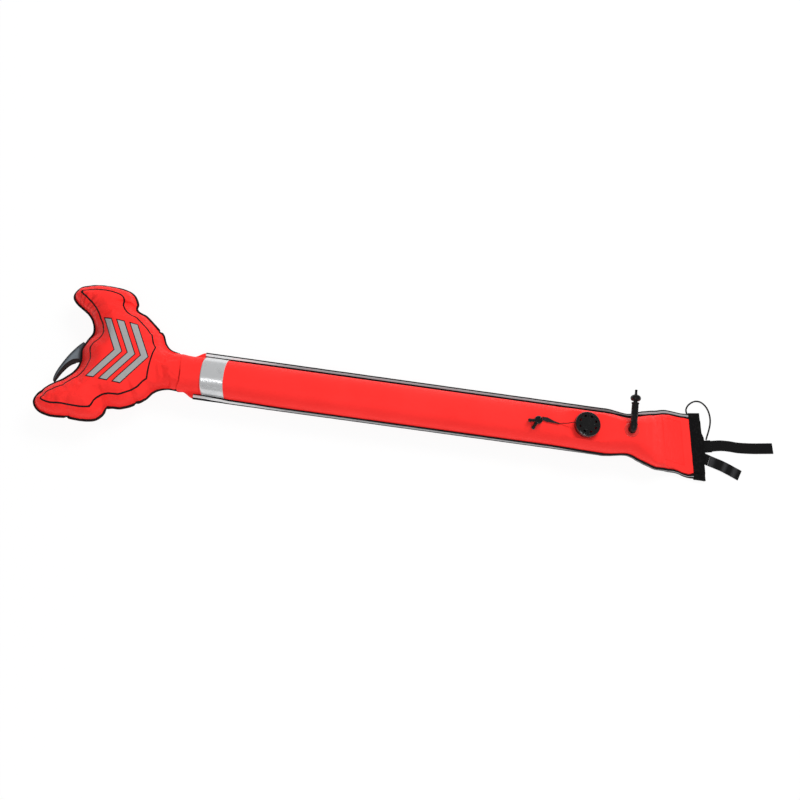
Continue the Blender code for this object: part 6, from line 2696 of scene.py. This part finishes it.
    def build(self) -> list[Piece]:
        """Make every piece of the inflator."""
        return [self.base(), self.elbow(), *self.barrel(), self.mouthpiece()]


# Straps and bungee


@dataclass
class MouthStraps:
    """The two webbing straps, the tabs that sew them on, and the bungee loop."""

    finishes: Finishes
    bag: BagShape
    wall: float = 1.6 * MM
    floor: float = 0.15 * MM
    width: float = 24 * MM
    tab_width: float = 27 * MM
    tab_extra: float = 0.2 * MM
    bow: float = 1.5 * MM
    long_mm: Pairs = (
        (35, 12.0), (55, 16.0), (75, 17.0), (95, 16.5), (125, 19.0), (150, 22.5), (173, 26.0)
    )
    short_mm: Pairs = ((30, -21.5), (55, -29.0), (77, -37.0), (99, -45.5))
    bungee_radius: float = 1.75 * MM
    bungee_mm: tuple[Triple, ...] = (
        (-23, 76.8, 4.5), (-24, 81, 3.4), (-24, 88, 2.2), (-20, 97, 1.95), (-12, 105, 1.95),
        (-2, 109.5, 1.95), (9, 108.5, 1.95), (19, 101.5, 1.95), (26, 91, 1.95), (30, 78, 1.95),
        (31, 65, 1.95), (29.5, 53, 1.95), (27, 42, 1.95), (24.5, 33, 1.95), (23, 26.6, 1.95),
        (22.4, 24.4, 1.95),
    )

    def strap(self, name: str, points: Pairs, bow: float, finish: Finish) -> Piece:
        """A flat strap along its line, with woven edges and a sealed end.

        Args:
            name: the CAD node that it stands for, which is also its body.
            points: its line, in millimetres.
            bow: how high its middle lies off the floor.
            finish: its material.

        Returns:
            The strap.
        """
        route = even_steps(curve_through([Vector((x * MM, y * MM)) for x, y in points], 12), 1.6 * MM)
        loops, count = [], len(route) - 1
        for k, point in enumerate(route):
            across, share = leftwards(route, k), k / count
            z = self.floor + bow * math.sin(math.pi * share) ** 2
            half = self.width / 2 + 0.12 * MM * ripple(k, 2.2, 1.0)
            seal = 1 - 0.35 * ease((share - 0.985) / 0.015)
            section = self.edge_section(half, self.wall * seal)
            lift = 0.12 * MM * (1 + ripple(k, 9.0, 5.0)) if bow else 0.0
            loops.append([Vector((*(point + across * a), z + lift + b)) for a, b in section])
        piece = sectioned_piece(name + "_web", loops, finish)
        return placed(piece, name, "webbing", name)

    @staticmethod
    def edge_section(half: float, wall: float) -> list[Pair]:
        """A strap's section: thick woven edges and eight shallow rows of ribs on each face.

        Args:
            half: half its width.
            wall: its thickness.

        Returns:
            The section's points.
        """
        top = [(half - half * k / 8, wall - (0.10 * MM if k % 2 else 0.0)) for k in range(1, 16)]
        top = [(half, wall * 0.72), *top, (-half, wall * 0.72)]
        return [*top, *((-a, wall - b) for a, b in top)]

    def tab(self, name: str, points: Pairs, width: float) -> list[Piece]:
        """The doubled webbing sewn into the lower lip, with its box of stitches.

        Args:
            name: the CAD node.
            points: the strap's line, in millimetres.
            width: the tab's width.

        Returns:
            The tab and its stitches.
        """
        first, second = Vector(points[0]) * MM, Vector(points[1]) * MM
        way = (second - first).normalized()
        across = Vector((-way.y, way.x))
        near = first - way * 2 * GAP
        height = self.wall + self.tab_extra
        loops, ends = [], []
        for a in (width * (0.5 - k / 16) for k in range(17)):
            outer = near + across * a
            lip = self.bag.place(self.bag.mouth_x, outer.y, 0).x + GAP
            inner = outer - way * ((outer.x - lip) / way.x)
            dip = 0.12 * MM * abs(a) / width
            section = rounded([(0.0, 0.0), (1.0, 0.0), (1.0, height - dip), (0.0, height - dip)], 0.5 * MM)
            loops.append([Vector((*inner.lerp(outer, share), self.floor + z)) for share, z in section])
            ends.append((inner, outer))
        piece = sectioned_piece(name + "_web", loops, self.finishes.webbing)
        placed(piece, "buoy", "webbing", name)
        top = self.floor + height + 0.02 * MM
        inset = 2.2 * MM

        def corner(pair: tuple[Vector, Vector], share: float) -> Vector:
            """A point over the tab between its inner and outer end.

            Args:
                pair: the inner and the outer end.
                share: how far out between them.

            Returns:
                The point.
            """
            inner, outer = pair
            reach = (outer - inner).length
            low, high = inset / reach, 1 - inset / reach
            return Vector((*inner.lerp(outer, low + (high - low) * share), top))

        left, right = ends[2], ends[-3]
        ring = [corner(left, 0), corner(left, 1), corner(right, 1), corner(right, 0), corner(left, 0)]
        lines = [ring, [corner(left, 0), corner(right, 1)], [corner(left, 1), corner(right, 0)]]
        stitch = RowOf(2.6 * MM, (2.0 * MM, 0.45 * MM, 0.36 * MM), self.finishes.thread, jitter=0.1)
        stitches = stitch.along(name + "_stitches", lines)
        return [piece, placed(stitches, "buoy", "webbing")]

    def bungee(self) -> Piece:
        """The loop of bungee cord from the band's corner back to the strap's tab.

        Returns:
            The cord.
        """
        route = even_steps(curve_through([Vector(p) * MM for p in self.bungee_mm], 12), 2.2 * MM)
        piece = cord_piece("bungee_cord", route, self.bungee_radius, self.finishes.braid)
        placed(piece, "buoy", "cord", "bungee_loop")
        line_length(route)
        return piece

    def build(self) -> list[Piece]:
        """Make the straps, their tabs and the bungee.

        Returns:
            The pieces.
        """
        return [
            self.strap("long_strap", self.long_mm, 0.0, self.finishes.webbing),
            self.strap("short_strap", self.short_mm, self.bow, self.finishes.satin_webbing),
            *self.tab("long_strap_tab", self.long_mm, self.tab_width),
            *self.tab("short_strap_tab", self.short_mm, self.width),
            self.bungee(),
        ]


# The photograph's stage


@dataclass
class Studio:
    """The camera at the photograph's place, a pale floor and soft light."""

    camera_at: Triple = (-0.76315, -0.59217, 1.9368)
    right: Triple = (0.98903370, 0.11449478, 0.09329141)
    up: Triple = (-0.13706170, 0.94684920, 0.29101664)
    back: Triple = (-0.05501301, -0.30061194, 0.95215862)
    lens: float = 42.75

    def camera(self) -> None:
        """Set the camera."""
        data = bpy.data.cameras.new("camera")
        data.lens, data.sensor_width, data.clip_end = self.lens, 36.0, 50.0
        made = bpy.data.objects.new("camera", data)
        turn = Matrix((self.right, self.up, self.back)).transposed().to_4x4()
        made.matrix_world = Matrix.Translation(self.camera_at) @ turn
        bpy.context.scene.collection.objects.link(made)
        bpy.context.scene.camera = made

    def seen_white(self, bench: Bench, shader: Level, tone: Colour, share: float) -> Level:
        """Mix a shader with plain white for what the camera, gloss and glass see of it.

        Args:
            bench: the material's bench.
            shader: the shader that lights the rest.
            tone: the white.
            share: how much of it is seen.

        Returns:
            The mixed shader.
        """
        path = bench.add("ShaderNodeLightPath").socket.node.outputs
        seen = Level(bench, path["Is Camera Ray"]) + Level(bench, path["Is Glossy Ray"])
        seen = (seen + Level(bench, path["Is Transmission Ray"])).clamped() * share
        white = bench.add("ShaderNodeEmission", {"Color": tone, "Strength": 1.0})
        return bench.add("ShaderNodeMixShader", {0: seen, 1: shader, 2: white})

    def floor(self) -> None:
        """A pale floor that keeps the buoy's soft shadow."""
        bench = Bench("studio_floor")
        sockets = {"Base Color": (0.93, 0.93, 0.93, 1.0), "Roughness": 0.9, "Specular IOR Level": 0.1}
        paper = bench.add("ShaderNodeBsdfPrincipled", sockets)
        white = self.seen_white(bench, paper, (1, 1, 1, 1), 0.93)
        bench.add("ShaderNodeOutputMaterial", {"Surface": white})
        bm = bmesh.new()
        bmesh.ops.create_grid(bm, x_segments=1, y_segments=1, size=14.0)
        floor = close_up("studio_floor", bm, bench.material, closed=False)
        floor.location.z = -0.02 * MM

    def world(self) -> None:
        """An even white surround, dimmer in reflections."""
        world = bpy.data.worlds.new("surround")
        world.use_nodes = True
        tree = world.node_tree
        ground = tree.nodes["Background"]
        ground.inputs["Color"].default_value = (1.0, 1.0, 1.0, 1.0)
        path = tree.nodes.new("ShaderNodeLightPath").outputs
        sockets = {"Value": path["Is Camera Ray"], "To Min": 0.47, "To Max": 1.0}
        seen = add_node(tree, "ShaderNodeMapRange", sockets).outputs[0]
        sockets = {"Value": path["Is Glossy Ray"], "To Min": seen, "To Max": 0.18}
        mirrored = add_node(tree, "ShaderNodeMapRange", sockets).outputs[0]
        tree.links.new(mirrored, ground.inputs["Strength"])
        bpy.context.scene.world = world

    def lamp(
        self, name: str, spot: Triple, aim: Triple, size: Pair, watts: float, mirrored: bool = False
    ) -> None:
        """A soft rectangular lamp.

        Args:
            name: the lamp's name.
            spot: where it hangs.
            aim: the point that it faces.
            size: its width and height.
            watts: its power.
            mirrored: whether it shows in reflections.
        """
        data = bpy.data.lights.new(name, "AREA")
        data.shape, data.energy = "RECTANGLE", watts
        data.size, data.size_y = size
        made = bpy.data.objects.new(name, data)
        made.location = spot
        made.visible_glossy = mirrored
        made.rotation_euler = (Vector(aim) - Vector(spot)).to_track_quat("-Z", "Y").to_euler()
        bpy.context.scene.collection.objects.link(made)

    def build(self) -> None:
        """Make the stage."""
        self.camera()
        self.floor()
        self.world()
        self.lamp("soft_key", (0.25, 2.0, 2.25), (-0.65, 0.0, 0.0), (2.0, 0.9), 86.0)
        self.lamp("low_fill", (-0.6, -2.4, 0.9), (-0.6, 0.0, 0.05), (2.6, 0.6), 18.0)
        self.lamp("strip", (-0.9, -1.13, 2.15), (-0.8, 0.0, 0.05), (1.8, 0.09), 10.0, mirrored=True)
        bpy.context.scene.view_settings.view_transform = "Standard"


def dress_inner_nodes(nodes: dict[str, Piece], finishes: Finishes) -> None:
    """Give the CAD solids that stay their finish.

    Args:
        nodes: the loaded solids by name.
        finishes: every finish.
    """
    chosen = {
        finishes.rubber: ("valve_gasket", "valve_disc", "inflator_seal"),
        finishes.dull_plastic: ("valve_clamp_nut", "inflator_poppet"),
        finishes.wire: ("valve_stem", "valve_spring", "inflator_spring"),
        finishes.nylon: ("duckbill_upper", "duckbill_lower"),
    }
    for finish, names in chosen.items():
        for name in names:
            nodes[name].material_slots[0].material = finish
            log.info("dressed %s", name)


def shorten(spring: Piece, way: Triple, travel: float) -> None:
    """Measure a coil spring along the way its pressed end moves, and give it its own mesh.

    Args:
        spring: the coil.
        way: the direction its pressed end moves in, a unit vector.
        travel: how far that end moves at the joint's limit.
    """
    spots = [spring.matrix_world @ vertex.co for vertex in spring.data.vertices]
    pressed, fixed = (choose(spots, key=lambda spot: spot.dot(Vector(way))) for choose in (min, max))
    length = (fixed - pressed).dot(Vector(way))
    1 - travel / length
    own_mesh(spring)


def main() -> None:
    """Load the frame and make every piece around it."""
    logging.basicConfig(level=logging.INFO, format="%(message)s")
    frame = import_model()
    Studio().build()
    finishes = Finishes()
    bag = Bag(finishes)
    straps, valve = MouthStraps(finishes, bag.shape), ReliefValve(finishes, bag.shape)
    head, inflator = Head(finishes, bag.shape), Inflator(finishes, bag.shape)
    for maker in (straps, valve, bag, head, inflator):
        for piece in maker.build():
            log.info("%s: %s, %d faces", type(maker).__name__, piece.name, len(piece.data.polygons))
    dress_inner_nodes(frame["nodes"], finishes)
    shorten(frame["nodes"]["inflator_spring"], inflator.push, inflator.travel)
    shorten(frame["nodes"]["valve_spring"], (0.0, 0.0, 1.0), valve.travel)


if __name__ == "__main__":
    main()
